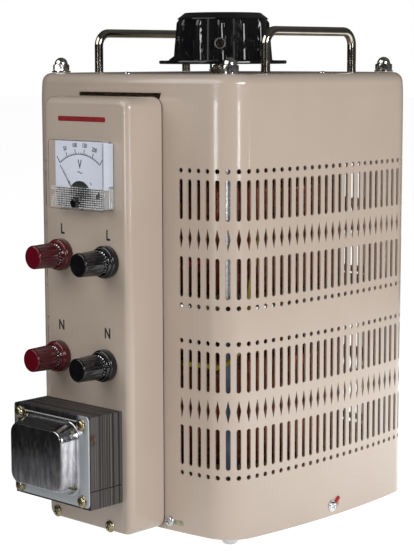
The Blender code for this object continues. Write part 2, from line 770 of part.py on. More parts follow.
def support_plate(gang, bottom):
    """A board on the tie rods with cut corners and a round middle hole."""
    half = PLATE_HALF
    board = box_mesh("support_plate_" + gang, (-half, -half, bottom), (half, half, bottom + PLATE_THICK))
    plate = node("support_plate_" + gang, board, "insulation")
    middle = cutter("plate_middle_" + gang, cylinder_mesh("plate_middle", 40 * MM, 3 * PLATE_THICK, 32))
    boolean(plate, place(middle, (0, 0, bottom - PLATE_THICK)))
    for sign_x, sign_y, corner in corners():
        name = f"plate_hole_{gang}_{corner}"
        hole = cutter(name, cylinder_mesh("plate_hole", ROD_RADIUS + CLEAR, 3 * PLATE_THICK, 16))
        boolean(plate, place(hole, (sign_x * ROD_SPOT, sign_y * ROD_SPOT, bottom - PLATE_THICK)))
    return plate


def brush_gear(gang, floor):
    """A cast arm clamped to the shaft, with a carbon brush on the winding's top face."""
    top = floor + WINDING_HEIGHT
    arm_bottom = top + GAP + BRUSH_HEIGHT - BRUSH_GRIP
    half_length, half_width = BRUSH_HALF
    beam_half = 11 * MM
    inset = 0.5 * MM
    boss_top = ARM_THICK + 8 * MM
    profile = (
        (SHAFT_RADIUS + CLEAR, boss_top), (15 * MM, boss_top),
        (16 * MM, ARM_THICK), (16 * MM, 0), (SHAFT_RADIUS + CLEAR, 0),
    )
    arm = turned("brush_arm_" + gang, profile, "aluminium", 20, closed=True)
    place(arm, (0, 0, arm_bottom), (0, 0, POINTER_ANGLE))
    beam = box_mesh(
        "arm_beam_" + gang,
        (9 * MM, -beam_half, inset), (BRUSH_SPOT + 12 * MM, beam_half, ARM_THICK - inset),
    )
    beam = cutter("arm_beam_" + gang, beam)
    beam.parent = arm
    boolean(arm, beam, "UNION")
    pocket = box_mesh(
        "brush_pocket_" + gang,
        (BRUSH_SPOT - half_length - CLEAR, -half_width - CLEAR, -5 * MM),
        (BRUSH_SPOT + half_length + CLEAR, half_width + CLEAR, 20 * MM),
    )
    pocket = cutter("brush_pocket_" + gang, pocket)
    pocket.parent = arm
    boolean(arm, pocket)
    block = box_mesh(
        "brush_" + gang,
        (BRUSH_SPOT - half_length, -half_width, 0), (BRUSH_SPOT + half_length, half_width, BRUSH_HEIGHT),
    )
    brush = node("brush_" + gang, block, "carbon")
    place(brush, (0, 0, top + GAP), (0, 0, POINTER_ANGLE))


def shaft_and_bearings():
    bar = cylinder_mesh("shaft", SHAFT_RADIUS, SHAFT_HEAD - SHAFT_FOOT, 24)
    place(node("shaft", bar, "shaft_steel"), (0, 0, SHAFT_FOOT))
    bore = SHAFT_RADIUS + CLEAR
    top = CASE_HEIGHT
    nut_top = top + 3.8 * MM
    gland_top = top + 6.7 * MM
    gland_foot = top - 10 * MM
    gland = (
        (bore, gland_top), (GLAND_RADIUS - 0.2 * MM, gland_top), (GLAND_RADIUS, nut_top), (11 * MM, nut_top),
        (11 * MM, top + GAP), (GLAND_RADIUS, top + GAP), (GLAND_RADIUS, gland_foot), (bore, gland_foot),
    )
    turned("top_bearing", gland, "brass", 20, closed=True)
    floor = TRAY_SHEET + GAP
    bush = (
        (bore, 20 * MM), (9 * MM, 20 * MM), (10 * MM, floor + 4 * MM), (17 * MM, floor + 3 * MM),
        (17 * MM, floor), (bore, floor),
    )
    turned("bottom_bearing", bush, "brass", 20, closed=True)


def knob():
    """A hollow bakelite knob: flange, tapered drum, chamfered top and pointer."""
    flange_top = FLANGE_BOTTOM + FLANGE_THICK
    bore = SHAFT_RADIUS + CLEAR
    ceiling = KNOB_TOP - 6 * MM
    dish = KNOB_TOP - 1.2 * MM
    bore_end = SHAFT_HEAD + GAP
    inner = DRUM_TOP_RADIUS - 5 * MM
    profile = (
        (0, dish), (29 * MM, dish), (30 * MM, KNOB_TOP),
        (DRUM_TOP_RADIUS - KNOB_CHAMFER, KNOB_TOP), (DRUM_TOP_RADIUS, KNOB_TOP - 5.5 * MM),
        (DRUM_RADIUS, flange_top), (FLANGE_RADIUS - 0.5 * MM, flange_top),
        (FLANGE_RADIUS, flange_top - 0.5 * MM),
        (FLANGE_RADIUS, FLANGE_BOTTOM), (inner, FLANGE_BOTTOM), (inner - 2 * MM, ceiling),
        (KNOB_BOSS, ceiling), (KNOB_BOSS, FLANGE_BOTTOM), (bore, FLANGE_BOTTOM), (bore, bore_end),
        (0, bore_end),
    )
    drum = turned("knob", profile, "bakelite", 36)
    foot = DRUM_RADIUS - 1 * MM
    tangent = acos(foot / POINTER_REACH)
    foot_x = foot * cos(tangent)
    foot_y = foot * sin(tangent)
    low = flange_top - 0.8 * MM
    high = flange_top + POINTER_RISE
    shape = bmesh.new()
    tip = [shape.verts.new((POINTER_REACH, 0, z)) for z in (low, low + 1.2 * MM)]
    root = [shape.verts.new((foot_x, sign * foot_y, z)) for sign in (-1, 1) for z in (low, low + 1.2 * MM)]
    ridge = shape.verts.new((DRUM_RADIUS - 1.5 * MM, 0, high))
    heel = [shape.verts.new((36.5 * MM, 0, z)) for z in (low, high - 1 * MM)]
    bmesh.ops.convex_hull(shape, input=tip + root + [ridge] + heel)
    pointer = cutter("pointer", mesh_of("pointer", shape))
    place(pointer, (0, 0, 0), (0, 0, POINTER_ANGLE))
    boolean(drum, pointer, "UNION")
    return drum


def build():
    case_shell()
    base_tray()
    case_screw()
    tie_rods()
    handles()
    terminal_box()
    meter_frame()
    meter_dial()
    meter_cover()
    meter_needle()
    meter_zero_screw()
    for post in POSTS:
        binding_post(*post)
    choke_core()
    choke_coil()
    choke_bell_cover()
    choke_bolt_set()
    for gang, floor in GANG_FLOORS.items():
        toroid_gang(gang, floor)
        brush_gear(gang, floor)
    shaft_and_bearings()
    knob()


clear_scene()
PARTS = new_collection("variable_autotransformer")
CUTTERS = new_collection("cutters")
build()
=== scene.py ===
"""The looks of the variable autotransformer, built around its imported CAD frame.

Metres, +Z up. The shaft's axis is x = y = 0, the base tray's underside is
z = 0 and -Y is the front, as in the CAD. A turned profile is a list of
(radius, height) points.
"""

import json
import random
from math import ceil, cos, pi, radians, sin, sqrt

import bmesh
import bpy
import numpy as np
from mathutils import Matrix, Vector
from mathutils.geometry import delaunay_2d_cdt


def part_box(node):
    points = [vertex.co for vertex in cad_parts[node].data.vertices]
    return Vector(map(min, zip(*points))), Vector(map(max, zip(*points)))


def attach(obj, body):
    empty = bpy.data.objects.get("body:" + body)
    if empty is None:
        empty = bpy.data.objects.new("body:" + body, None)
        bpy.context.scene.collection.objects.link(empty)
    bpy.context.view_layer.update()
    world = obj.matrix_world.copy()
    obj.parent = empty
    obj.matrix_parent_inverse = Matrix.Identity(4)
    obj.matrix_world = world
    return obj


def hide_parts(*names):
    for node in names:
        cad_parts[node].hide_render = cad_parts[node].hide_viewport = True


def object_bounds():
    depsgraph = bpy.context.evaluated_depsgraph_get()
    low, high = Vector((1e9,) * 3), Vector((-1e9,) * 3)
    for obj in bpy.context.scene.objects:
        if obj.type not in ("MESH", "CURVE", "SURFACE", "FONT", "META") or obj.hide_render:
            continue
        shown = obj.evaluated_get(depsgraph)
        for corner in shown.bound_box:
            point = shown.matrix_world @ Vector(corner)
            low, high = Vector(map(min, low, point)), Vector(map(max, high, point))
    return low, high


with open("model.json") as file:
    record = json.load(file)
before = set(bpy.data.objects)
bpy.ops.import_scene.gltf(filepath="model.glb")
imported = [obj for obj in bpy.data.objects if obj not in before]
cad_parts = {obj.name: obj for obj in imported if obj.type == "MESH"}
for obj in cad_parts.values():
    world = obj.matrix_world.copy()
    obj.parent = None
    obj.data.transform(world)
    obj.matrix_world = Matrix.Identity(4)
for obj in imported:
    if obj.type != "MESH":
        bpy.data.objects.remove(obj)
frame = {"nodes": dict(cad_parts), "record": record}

CAD_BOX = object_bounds()
MM = 0.001
FRONT = Matrix.Rotation(pi / 2, 4, "X")
CORNERS = ("front_left", "front_right", "rear_right", "rear_left")
GANGS = ("lower", "upper")


def mm(*sizes):
    """Millimetres as metres, for numbers and for tuples of them."""
    return tuple(mm(*size) if isinstance(size, tuple) else size * MM for size in sizes)


def middle(node):
    """The middle of a CAD node's box."""
    low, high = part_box(node)
    return tuple((low[i] + high[i]) / 2 for i in range(3))


# The camera, in the frame's own units.
CAMERA_PLACE = (0.9642, -1.0400, 0.3831)
CAMERA_AZIMUTH = radians(43.406)
CAMERA_ELEVATION = radians(7.759)
CAMERA_ROLL = radians(-0.141)
LENS = 105.05

# Case: a square plan with bowed walls, round corners and 104 columns of vents.
CORNER_RADIUS, SHEET, TOP_EDGE, LEAN, LEAN_HEIGHT = mm(29, 1.5, 8.4, 0.6, 15)
WALL_TURN = radians(7.6)
COLUMNS = 104
COLUMN_SHIFT, DOT_RADIUS, SLOT_HALF, DIAMOND_HALF = mm(-2.05, 2.0, 1.95, 2.1)

# Each zone of vents: its lowest and highest level, two rows of dots, two rows of slots and one of diamonds.
VENT_ZONES = mm(
    (44, 165.5, (50.7, 158.9), ((57.1, 90.4), (119.5, 152.4)), (95.3, 113.9)),
    (181, 301, (187.4, 294.9), ((194.1, 226.9), (255.9, 288.2)), (232.4, 250.4)),
)

# The front wall has no vents behind the terminal box, and an opening with a bent lip over it.
PLAIN_HALF, WINDOW_HALF, WINDOW_BOTTOM = mm(63, 46, 28)
WINDOW_BANDS = range(1, 6)
LIP, LIP_DEPTH, LIP_FADE = mm(3.5, 2.2, 6)

# ---------------------------------------------------------------- materials


def new_material(name):
    """A material, its node tree and its Principled shader."""
    made = bpy.data.materials.new(name)
    made.use_nodes = True
    return made, made.node_tree, made.node_tree.nodes["Principled BSDF"]


def add_node(tree, kind, inputs=None, **settings):
    """A node. Each input is a value or the output socket that feeds it."""
    made = tree.nodes.new("ShaderNode" + kind)
    for key, value in settings.items():
        setattr(made, key, value)
    for key, value in (inputs or {}).items():
        if isinstance(value, bpy.types.NodeSocket):
            tree.links.new(value, made.inputs[key])
        else:
            made.inputs[key].default_value = value
    return made


def noise(tree, scale, detail=2.0, stretch=(1, 1, 1)):
    """Noise in the object's own coordinates, from 0 to 1."""
    place = add_node(tree, "TexCoord").outputs["Object"]
    sized = add_node(tree, "Mapping", {"Vector": place, "Scale": stretch})
    made = add_node(tree, "TexNoise", {"Vector": sized.outputs["Vector"], "Scale": scale, "Detail": detail})
    return made.outputs["Fac"]


def spread(tree, value, low, high, start=0.35, end=0.65, curve="LINEAR"):
    """The stretch of a value from start to end, as low to high."""
    inputs = {"Value": value, "From Min": start, "From Max": end, "To Min": low, "To Max": high}
    return add_node(tree, "MapRange", inputs, interpolation_type=curve).outputs["Result"]


def maths(tree, operation, first, second):
    return add_node(tree, "Math", {0: first, 1: second}, operation=operation).outputs["Value"]


def mix_colour(tree, factor, first, second, blend="MIX"):
    made = add_node(tree, "Mix", data_type="RGBA", blend_type=blend)
    for socket, value in ((made.inputs[0], factor), (made.inputs[6], first), (made.inputs[7], second)):
        if isinstance(value, bpy.types.NodeSocket):
            tree.links.new(value, socket)
        else:
            socket.default_value = (*value, 1.0) if isinstance(value, tuple) else value
    return made.outputs[2]


def bump(tree, height, depth, below=None):
    """A bump of a real depth in metres, on top of another one."""
    inputs = {"Height": height, "Distance": depth}
    if below is not None:
        inputs["Normal"] = below
    return add_node(tree, "Bump", inputs).outputs["Normal"]


def rust_spots(tree, scale, centre):
    """Spots all over, or one ragged mark round a point."""
    spots = noise(tree, scale, 6.0)
    if centre is None:
        return spread(tree, spots, 0.0, 1.0, 0.60, 0.72)
    place = add_node(tree, "TexCoord").outputs["Object"]
    away = add_node(tree, "VectorMath", {0: place, 1: centre}, operation="DISTANCE").outputs["Value"]
    near = spread(tree, away, 1.0, 0.0, 2 * MM, 7 * MM)
    return maths(tree, "MULTIPLY", near, spread(tree, spots, 0.0, 1.0, 0.40, 0.55))


def surface(
    name, dark, light, roughness, metallic=0.0, blotch=25.0, grain=(900.0, 4e-6), waves=(18.0, 3e-5),
    coat=0.0, stretch=(1, 1, 1), rust=None, rust_centre=None, front=None,
):
    """A finish with soft colour change, uneven gloss, fine grain and broad waves.

    grain and waves are a scale and a depth, rust is a colour and a scale, and
    front is a brighter colour painted on the faces turned to the front: painted light on the fronts, painted
    shade on the sides.
    """
    made, tree, shader = new_material(name)
    patches = noise(tree, blotch, 4.0, stretch)
    colour = mix_colour(tree, spread(tree, patches, 0.0, 1.0), dark, light)
    if rust:
        colour = mix_colour(tree, rust_spots(tree, rust[1], rust_centre), colour, rust[0])
    # Painted light and shade: faces turned to the front get the brighter front colour, the sides keep the
    # darker one.
    if front:
        facing = add_node(tree, "TexCoord").outputs["Normal"]
        facing = add_node(tree, "SeparateXYZ", {"Vector": facing}).outputs["Y"]
        colour = mix_colour(tree, spread(tree, facing, 1.0, 0.0, -0.95, -0.35), colour, front)
    tree.links.new(colour, shader.inputs["Base Color"])
    gloss = spread(tree, noise(tree, blotch * 3, 3.0, stretch), *roughness)
    tree.links.new(gloss, shader.inputs["Roughness"])
    shader.inputs["Metallic"].default_value = metallic
    shader.inputs["Coat Weight"].default_value = coat
    shader.inputs["Coat Roughness"].default_value = 0.05
    broad = bump(tree, noise(tree, waves[0], 1.0), waves[1])
    fine = bump(tree, noise(tree, grain[0], 3.0, stretch), grain[1], broad)
    tree.links.new(fine, shader.inputs["Normal"])
    return made


def clear_surface(name, tint, least, most, roughness):
    """A clear moulding: see-through face on, and more opaque in its pale tint towards grazing angles, as a
    painted reflection.
    """
    made, tree, shader = new_material(name)
    shader.inputs["Roughness"].default_value = roughness
    streaks = noise(tree, 60.0, 3.0)
    colour = mix_colour(tree, streaks, tint, tuple(min(1.0, part * 1.05) for part in tint))
    tree.links.new(colour, shader.inputs["Base Color"])
    # Painted reflection: the pale tint turns opaque towards grazing angles.
    rim = add_node(tree, "LayerWeight", {"Blend": 0.35}).outputs["Facing"]
    tree.links.new(spread(tree, rim, least, most, 0.55, 1.0), shader.inputs["Alpha"])
    tree.links.new(bump(tree, noise(tree, 120.0), 1e-5), shader.inputs["Normal"])
    return made


FINISHES = {
    "case_paint": surface(
        "case_enamel", (0.50, 0.41, 0.34), (0.52, 0.43, 0.36), (0.20, 0.27), blotch=14.0,
        grain=(650.0, 5e-6), waves=(16.0, 1.2e-4), coat=0.35,
    ),
    "zinc": surface(
        "bright_zinc", (0.55, 0.57, 0.60), (0.78, 0.79, 0.80), (0.14, 0.30), 1.0, blotch=90.0,
        grain=(500.0, 1.2e-5), waves=(60.0, 3e-5),
    ),
    "chrome": surface(
        "polished_chrome", (0.42, 0.385, 0.32), (0.54, 0.50, 0.43), (0.05, 0.11), 1.0, blotch=60.0,
        grain=(1500.0, 1.5e-6), waves=(70.0, 1e-5),
    ),
    "brass": surface(
        "yellow_zinc", (0.34, 0.29, 0.17), (0.60, 0.55, 0.38), (0.18, 0.32), 1.0, blotch=300.0,
        grain=(1200.0, 1e-5), waves=(200.0, 1e-5), rust=((0.10, 0.06, 0.03), 700.0),
    ),
    "bakelite": surface(
        "black_bakelite", (0.005, 0.005, 0.006), (0.008, 0.008, 0.009), (0.06, 0.11), blotch=60.0,
        grain=(1100.0, 1.5e-6), waves=(80.0, 2e-5),
    ),
    # The red caps' fronts are painted brighter than their sides: painted light and shade.
    "post_red": surface(
        "crimson_moulding", (0.040, 0.004, 0.006), (0.065, 0.006, 0.009), (0.10, 0.18), blotch=120.0,
        grain=(1300.0, 1.5e-6), waves=(150.0, 1e-5), front=(0.12, 0.003, 0.010),
    ),
    "post_black": surface(
        "black_moulding", (0.004, 0.004, 0.005), (0.007, 0.007, 0.008), (0.10, 0.18), blotch=120.0,
        grain=(1300.0, 1.5e-6), waves=(150.0, 1e-5),
    ),
    "clear_plastic": clear_surface("clear_acrylic", (0.92, 0.93, 0.92), 0.02, 0.7, 0.04),
    "dial_white": surface(
        "dial_print_white", (0.80, 0.84, 0.97), (0.82, 0.86, 0.98), (0.45, 0.55), blotch=40.0,
        grain=(2500.0, 2e-6), waves=(40.0, 1e-5),
    ),
    "core_steel": surface(
        "lamination_steel", (0.028, 0.026, 0.027), (0.17, 0.157, 0.152), (0.38, 0.60), 0.6, blotch=480.0,
        grain=(900.0, 2e-5), waves=(120.0, 4e-5), stretch=(0.004, 1, 0.004),
        rust=((0.085, 0.032, 0.014), 260.0), rust_centre=(0.0401, -0.195, 0.085),
    ),
    "copper_wire": surface(
        "enamelled_copper", (0.11, 0.020, 0.010), (0.30, 0.065, 0.028), (0.20, 0.38), 0.55, blotch=45.0,
        grain=(800.0, 1e-5), waves=(90.0, 5e-5),
    ),
    "insulation": surface(
        "insulating_board", (0.20, 0.15, 0.075), (0.30, 0.24, 0.12), (0.50, 0.70), blotch=35.0,
        grain=(900.0, 2e-5), waves=(40.0, 4e-5),
    ),
    "aluminium": surface(
        "cast_aluminium", (0.40, 0.41, 0.42), (0.58, 0.59, 0.60), (0.35, 0.50), 1.0, blotch=60.0,
        grain=(700.0, 4e-5), waves=(60.0, 5e-5),
    ),
    "carbon": surface(
        "pressed_carbon", (0.012, 0.012, 0.012), (0.030, 0.030, 0.032), (0.55, 0.75), 0.2, blotch=200.0,
        grain=(2500.0, 1e-5), waves=(200.0, 1e-5),
    ),
    "shaft_steel": surface(
        "turned_steel", (0.20, 0.19, 0.18), (0.34, 0.33, 0.31), (0.22, 0.38), 1.0, blotch=80.0,
        grain=(1500.0, 6e-6), waves=(100.0, 1e-5), stretch=(1, 1, 12),
    ),
}
INK = surface("black_print", (0.012, 0.012, 0.014), (0.020, 0.020, 0.024), (0.40, 0.55), blotch=300.0)
RED_PRINT = surface("red_print", (0.22, 0.008, 0.012), (0.30, 0.012, 0.018), (0.35, 0.5), blotch=200.0)
GRID_PLASTIC = surface("frosted_acrylic", (0.66, 0.66, 0.66), (0.92, 0.92, 0.93), (0.15, 0.4), blotch=500.0)
NUT_PLATE = surface(
    "nut_plate", (0.66, 0.65, 0.62), (0.86, 0.85, 0.82), (0.10, 0.22), 1.0, blotch=200.0,
    grain=(800.0, 4e-6), waves=(120.0, 3e-5),
)
SLOT_SHADE = surface("slot_shade", (0.22, 0.19, 0.13), (0.42, 0.38, 0.29), (0.40, 0.55), blotch=260.0)
EARTH_SLEEVE = surface(
    "yellow_green_sleeve", (0.42, 0.36, 0.02), (0.50, 0.44, 0.04), (0.30, 0.45), blotch=60.0,
)
RED_SLEEVE = surface("red_sleeve", (0.40, 0.015, 0.015), (0.50, 0.03, 0.02), (0.30, 0.45), blotch=60.0)
WHITE_SLEEVE = surface("white_sleeve", (0.62, 0.60, 0.56), (0.72, 0.70, 0.66), (0.40, 0.55), blotch=60.0)
SLATE_SLEEVE = surface("slate_sleeve", (0.10, 0.13, 0.18), (0.17, 0.20, 0.26), (0.35, 0.5), 0.6, blotch=60.0)
BARE_COPPER = surface("bare_copper", (0.45, 0.17, 0.08), (0.60, 0.26, 0.13), (0.20, 0.35), 0.9, blotch=120.0)
SPECKLED_ZINC = surface(
    "speckled_zinc", (0.55, 0.56, 0.55), (0.85, 0.86, 0.85), (0.25, 0.4), 0.8, blotch=500.0,
)
METER_BASE = surface("meter_moulding", (0.05, 0.05, 0.05), (0.16, 0.16, 0.16), (0.35, 0.5), blotch=180.0)
FROSTED_WALL = clear_surface("frosted_wall", (0.78, 0.79, 0.80), 0.25, 0.45, 0.20)
WHITE_WALL = clear_surface("white_wall", (0.72, 0.76, 0.86), 0.75, 0.90, 0.12)
BELL_ZINC = surface(
    "bell_zinc", (0.30, 0.30, 0.33), (0.56, 0.56, 0.58), (0.12, 0.24), 1.0, blotch=300.0,
    grain=(420.0, 5e-6), waves=(30.0, 2e-5), stretch=(1, 1, 0.25),
)


def dull_flange(material):
    """Painted light: a paler, less metallic grey painted on the right and lower parts of the choke cover's
    flange, where light falls.
    """
    low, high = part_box("choke_bell_cover")
    tree = material.node_tree
    shader = tree.nodes["Principled BSDF"]
    place = add_node(tree, "SeparateXYZ", {"Vector": add_node(tree, "TexCoord").outputs["Object"]}).outputs
    right = spread(tree, place["X"], 0.0, 1.0, high.x - 14 * MM, high.x - 9 * MM)
    below = spread(tree, place["Z"], 1.0, 0.0, low.z + 8 * MM, low.z + 14 * MM)
    flat = spread(tree, place["Y"], 0.0, 1.0, high.y - 2.2 * MM, high.y - 1.6 * MM)
    # Painted light on the flange's right and lower parts.
    painted_light_mask = maths(tree, "MULTIPLY", maths(tree, "MAXIMUM", right, below), flat)
    clean = shader.inputs["Base Color"].links[0].from_socket
    tree.links.new(mix_colour(tree, painted_light_mask, clean, (0.50, 0.53, 0.56)), shader.inputs["Base Color"])
    tree.links.new(spread(tree, painted_light_mask, 1.0, 0.45, 0.0, 1.0), shader.inputs["Metallic"])


# ------------------------------------------------------------- mesh helpers


def add_object(name, data):
    made = bpy.data.objects.new(name, data)
    bpy.context.scene.collection.objects.link(made)
    return made


def finish_piece(name, mesh, slot, body="housing", node=None, angle=35, look=None):
    """Puts a mesh in the scene as one piece on a body, in the place of a CAD node if one is named."""
    mesh.materials.clear()
    mesh.materials.append(look or FINISHES[slot])
    if angle is not None:
        mesh.shade_smooth()
        mesh.set_sharp_from_angle(angle=radians(angle))
    made = add_object(name, mesh)
    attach(made, body)
    if node:
        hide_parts(node)


def to_mesh(name, shape, place=None, weld=True):
    """A bmesh as a mesh, moved into place, with its faces pointing out."""
    if weld:
        bmesh.ops.remove_doubles(shape, verts=shape.verts, dist=1e-6)
    bmesh.ops.recalc_face_normals(shape, faces=shape.faces)
    if place is not None:
        shape.transform(place)
    mesh = bpy.data.meshes.new(name)
    shape.to_mesh(mesh)
    shape.free()
    return mesh


def place_piece(name, shape, slot, place=None, body="housing", weld=True, **settings):
    finish_piece(name, to_mesh(name, shape, place, weld), slot, body, **settings)


def soften(points, radius, steps=3, closed=False):
    """The same outline with each corner rounded by a short curve."""
    made = []
    for i, point in enumerate(points):
        if not closed and i in (0, len(points) - 1):
            made.append(tuple(point))
            continue
        middle = Vector(point)
        back = Vector(points[i - 1]) - middle
        ahead = Vector(points[(i + 1) % len(points)]) - middle
        reach = min(radius, back.length * 0.45, ahead.length * 0.45)
        start = middle + back.normalized() * reach
        end = middle + ahead.normalized() * reach
        for step in range(steps + 1):
            t = step / steps
            made.append(tuple(start * (1 - t) ** 2 + middle * 2 * t * (1 - t) + end * t ** 2))
    return made


def skin(shape, rings, cap_start=True, cap_end=True, close=False):
    """Faces over rings that hold the same number of points."""
    rows = [[shape.verts.new(point) for point in ring] for ring in rings]
    pairs = list(zip(rows, rows[1:]))
    if close:
        pairs.append((rows[-1], rows[0]))
    for low, high in pairs:
        for i in range(len(low)):
            j = (i + 1) % len(low)
            shape.faces.new((low[i], low[j], high[j], high[i]))
    if cap_start and not close:
        shape.faces.new(rows[0])
    if cap_end and not close:
        shape.faces.new(rows[-1])
    return rows


def lathe(profile, segments=48, close=False, flutes=0, flute_depth=0.0, fluted=(0, 0), shape=None):
    """A shape turned about Z, with flutes between two heights if asked, added to a shape if one is given."""
    shape = shape or bmesh.new()
    rings = []
    for radius, height in profile:
        ring = []
        for i in range(segments):
            angle = 2 * pi * i / segments
            dip = flute_depth * (0.5 - 0.5 * cos(flutes * angle)) if fluted[0] <= height <= fluted[1] else 0.0
            reach = max(radius, 1e-7) - dip
            ring.append((reach * cos(angle), reach * sin(angle), height))
        rings.append(ring)
    skin(shape, rings, close=close)
    return shape


def tube(points, radius, sides=12):
    """A round bar along points, with flat ends."""
    shape = bmesh.new()
    spots = [Vector(point) for point in points]
    turns = [2 * pi * k / sides for k in range(sides)]
    rings = []
    across = None
    for i, spot in enumerate(spots):
        ahead = (spots[min(i + 1, len(spots) - 1)] - spots[max(i - 1, 0)]).normalized()
        if across is None:
            across = ahead.orthogonal().normalized()
        across = (across - ahead * across.dot(ahead)).normalized()
        up = ahead.cross(across)
        rings.append([spot + radius * (cos(turn) * across + sin(turn) * up) for turn in turns])
    skin(shape, rings)
    return shape


def smooth_path(points, steps=8):
    """A Catmull-Rom curve through points."""
    spots = [Vector(point) for point in points]
    spots = [2 * spots[0] - spots[1]] + spots + [2 * spots[-1] - spots[-2]]
    made = []
    for i in range(1, len(spots) - 2):
        before, start, end, after = spots[i - 1:i + 3]
        for step in range(steps):
            t = step / steps
            made.append(
                0.5 * (2 * start + (end - before) * t + (2 * before - 5 * start + 4 * end - after) * t ** 2
                       + (3 * start - before - 3 * end + after) * t ** 3)
            )
    return made + [spots[-2]]


def box_into(shape, low, high):
    """Adds a box between two corners to a shape."""
    size = Vector(high) - Vector(low)
    centre = (Vector(high) + Vector(low)) / 2
    bmesh.ops.create_cube(shape, size=1.0, matrix=Matrix.Translation(centre) @ Matrix.Diagonal((*size, 1.0)))


def slab(outline, near, far, shape=None):
    """A flat plate with an (x, z) outline between two depths, added to a shape if one is given."""
    shape = shape or bmesh.new()
    skin(shape, [[(x, y, z) for x, z in outline] for y in (near, far)])
    return shape


def circle(centre, radius, count, start=0.0):
    """Points round a circle, in two dimensions."""
    turns = [start + 2 * pi * i / count for i in range(count)]
    return [(centre[0] + radius * cos(turn), centre[1] + radius * sin(turn)) for turn in turns]


def quarter_turn(steps):
    """Steps (across, along) round a quarter circle, as shares of its radius, from (0, 1) to (1, 0)."""
    turns = [pi / 2 * step / steps for step in range(steps + 1)]
    return [(1 - cos(turn), 1 - sin(turn)) for turn in turns]


def rounded_box(low_x, high_x, low_z, high_z, radius, steps=6, side_steps=1):
    """(x, z) points round a rectangle, with extra points along its level sides."""
    made = []
    corners = (
        (high_x - radius, low_z + radius, -pi / 2), (high_x - radius, high_z - radius, 0),
        (low_x + radius, high_z - radius, pi / 2), (low_x + radius, low_z + radius, pi),
    )
    for index, (x, z, start) in enumerate(corners):
        for step in range(steps + 1):
            angle = start + pi / 2 * step / steps
            made.append((x + radius * cos(angle), z + radius * sin(angle)))
        if index % 2:
            end = corners[(index + 1) % 4][0]
            made += [(x + (end - x) * step / side_steps, made[-1][1]) for step in range(1, side_steps)]
    return made


def inside(point, loop):
    """Whether a 2D point lies in a loop of points."""
    x, y = point
    found = False
    for (x1, y1), (x2, y2) in zip(loop, loop[1:] + loop[:1]):
        if (y1 > y) != (y2 > y) and x < (x2 - x1) * (y - y1) / (y2 - y1) + x1:
            found = not found
    return found


def panel(outline, holes, extra=()):
    """Points and triangles of a convex flat panel with holes."""
    loops = [outline, *holes]
    points = []
    edges = []
    for loop in loops:
        first = len(points)
        points += [Vector(point) for point in loop]
        edges += [(first + i, first + (i + 1) % len(loop)) for i in range(len(loop))]
    points += [Vector(point) for point in extra]
    found, _, triangles, _, _, _ = delaunay_2d_cdt(points, edges, [], 0, 1e-8)
    kept = []
    for triangle in triangles:
        middle = sum((found[i] for i in triangle), Vector((0, 0))) / 3
        if not any(inside(middle, hole) for hole in holes):
            kept.append(tuple(triangle))
    return [tuple(point) for point in found], kept


# ----------------------------------------------------------------- the case

CASE_LOW, CASE_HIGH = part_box("case_shell")
CASE_WIDTH = CASE_HIGH.x - CASE_LOW.x
CASE_TOP = CASE_HIGH.z
BOX_LOW, BOX_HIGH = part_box("terminal_box")
FILLET_START = CASE_TOP - TOP_EDGE
WINDOW_TOP = BOX_HIGH.z + 3.0 * MM
WALL_REACH = (CASE_WIDTH / 2 - CORNER_RADIUS) / (1 - cos(WALL_TURN) + sin(WALL_TURN))
WALL_RADIUS = WALL_REACH + CORNER_RADIUS
HALF_WALL = WALL_RADIUS * WALL_TURN
QUARTER = 2 * HALF_WALL + CORNER_RADIUS * (pi / 2 - 2 * WALL_TURN)
PITCH = 4 * QUARTER / COLUMNS
FIRST_COLUMN = -QUARTER / 2 + COLUMN_SHIFT


def outline_at(s):
    """The case's plan at a distance s round it from the middle of the right wall: point and normal."""
    side = round(s / QUARTER)
    along = s - side * QUARTER
    centre = Vector((CASE_WIDTH / 2 - WALL_RADIUS, 0))
    if abs(along) <= HALF_WALL:
        angle = along / WALL_RADIUS
        radius = WALL_RADIUS
    else:
        sign = 1 if along > 0 else -1
        angle = sign * (WALL_TURN + (abs(along) - HALF_WALL) / CORNER_RADIUS)
        centre += WALL_REACH * Vector((cos(WALL_TURN), sign * sin(WALL_TURN)))
        radius = CORNER_RADIUS
    normal = Vector((cos(angle), sin(angle)))
    turn = Matrix.Rotation(side * pi / 2, 2)
    return turn @ (centre + radius * normal), turn @ normal


def front_wall_y(x):
    """The front wall's outer y at a given x."""
    return WALL_RADIUS - CASE_WIDTH / 2 - sqrt(WALL_RADIUS ** 2 - x * x)


def from_front(s):
    """Distance round the plan from the middle of the front wall."""
    return (s + QUARTER + 2 * QUARTER) % (4 * QUARTER) - 2 * QUARTER


def case_place(s, h):
    """Outer point and normal at s round the case and h up its developed height."""
    spot, normal = outline_at(s)
    depth = 0.0
    height = h
    tilt = 0.0
    if h > FILLET_START:
        tilt = min((h - FILLET_START) / TOP_EDGE, pi / 2)
        depth = LEAN + TOP_EDGE * (1 - cos(tilt))
        height = FILLET_START + TOP_EDGE * sin(tilt)
    elif h > FILLET_START - LEAN_HEIGHT:
        share = (h - FILLET_START + LEAN_HEIGHT) / LEAN_HEIGHT
        depth = LEAN * share ** 2
        tilt = 2 * LEAN * share / LEAN_HEIGHT
    lip = h - WINDOW_TOP
    lip_left = WINDOW_HALF + LIP_FADE - abs(from_front(s))
    if -1e-5 < lip < LIP and lip_left > 0:
        depth += min(1.0, lip_left / LIP_FADE) * LIP_DEPTH * (1 - lip / LIP) ** 2
    point = spot - depth * normal
    return Vector((*point, height)), Vector((*(normal * cos(tilt)), sin(tilt)))


def slot_loop(low, high, half):
    """A slot with round ends, standing up."""
    steps = 6
    top = [(half * cos(pi * i / steps), high - half + half * sin(pi * i / steps)) for i in range(steps + 1)]
    return top + [(-x, low + high - z) for x, z in top]


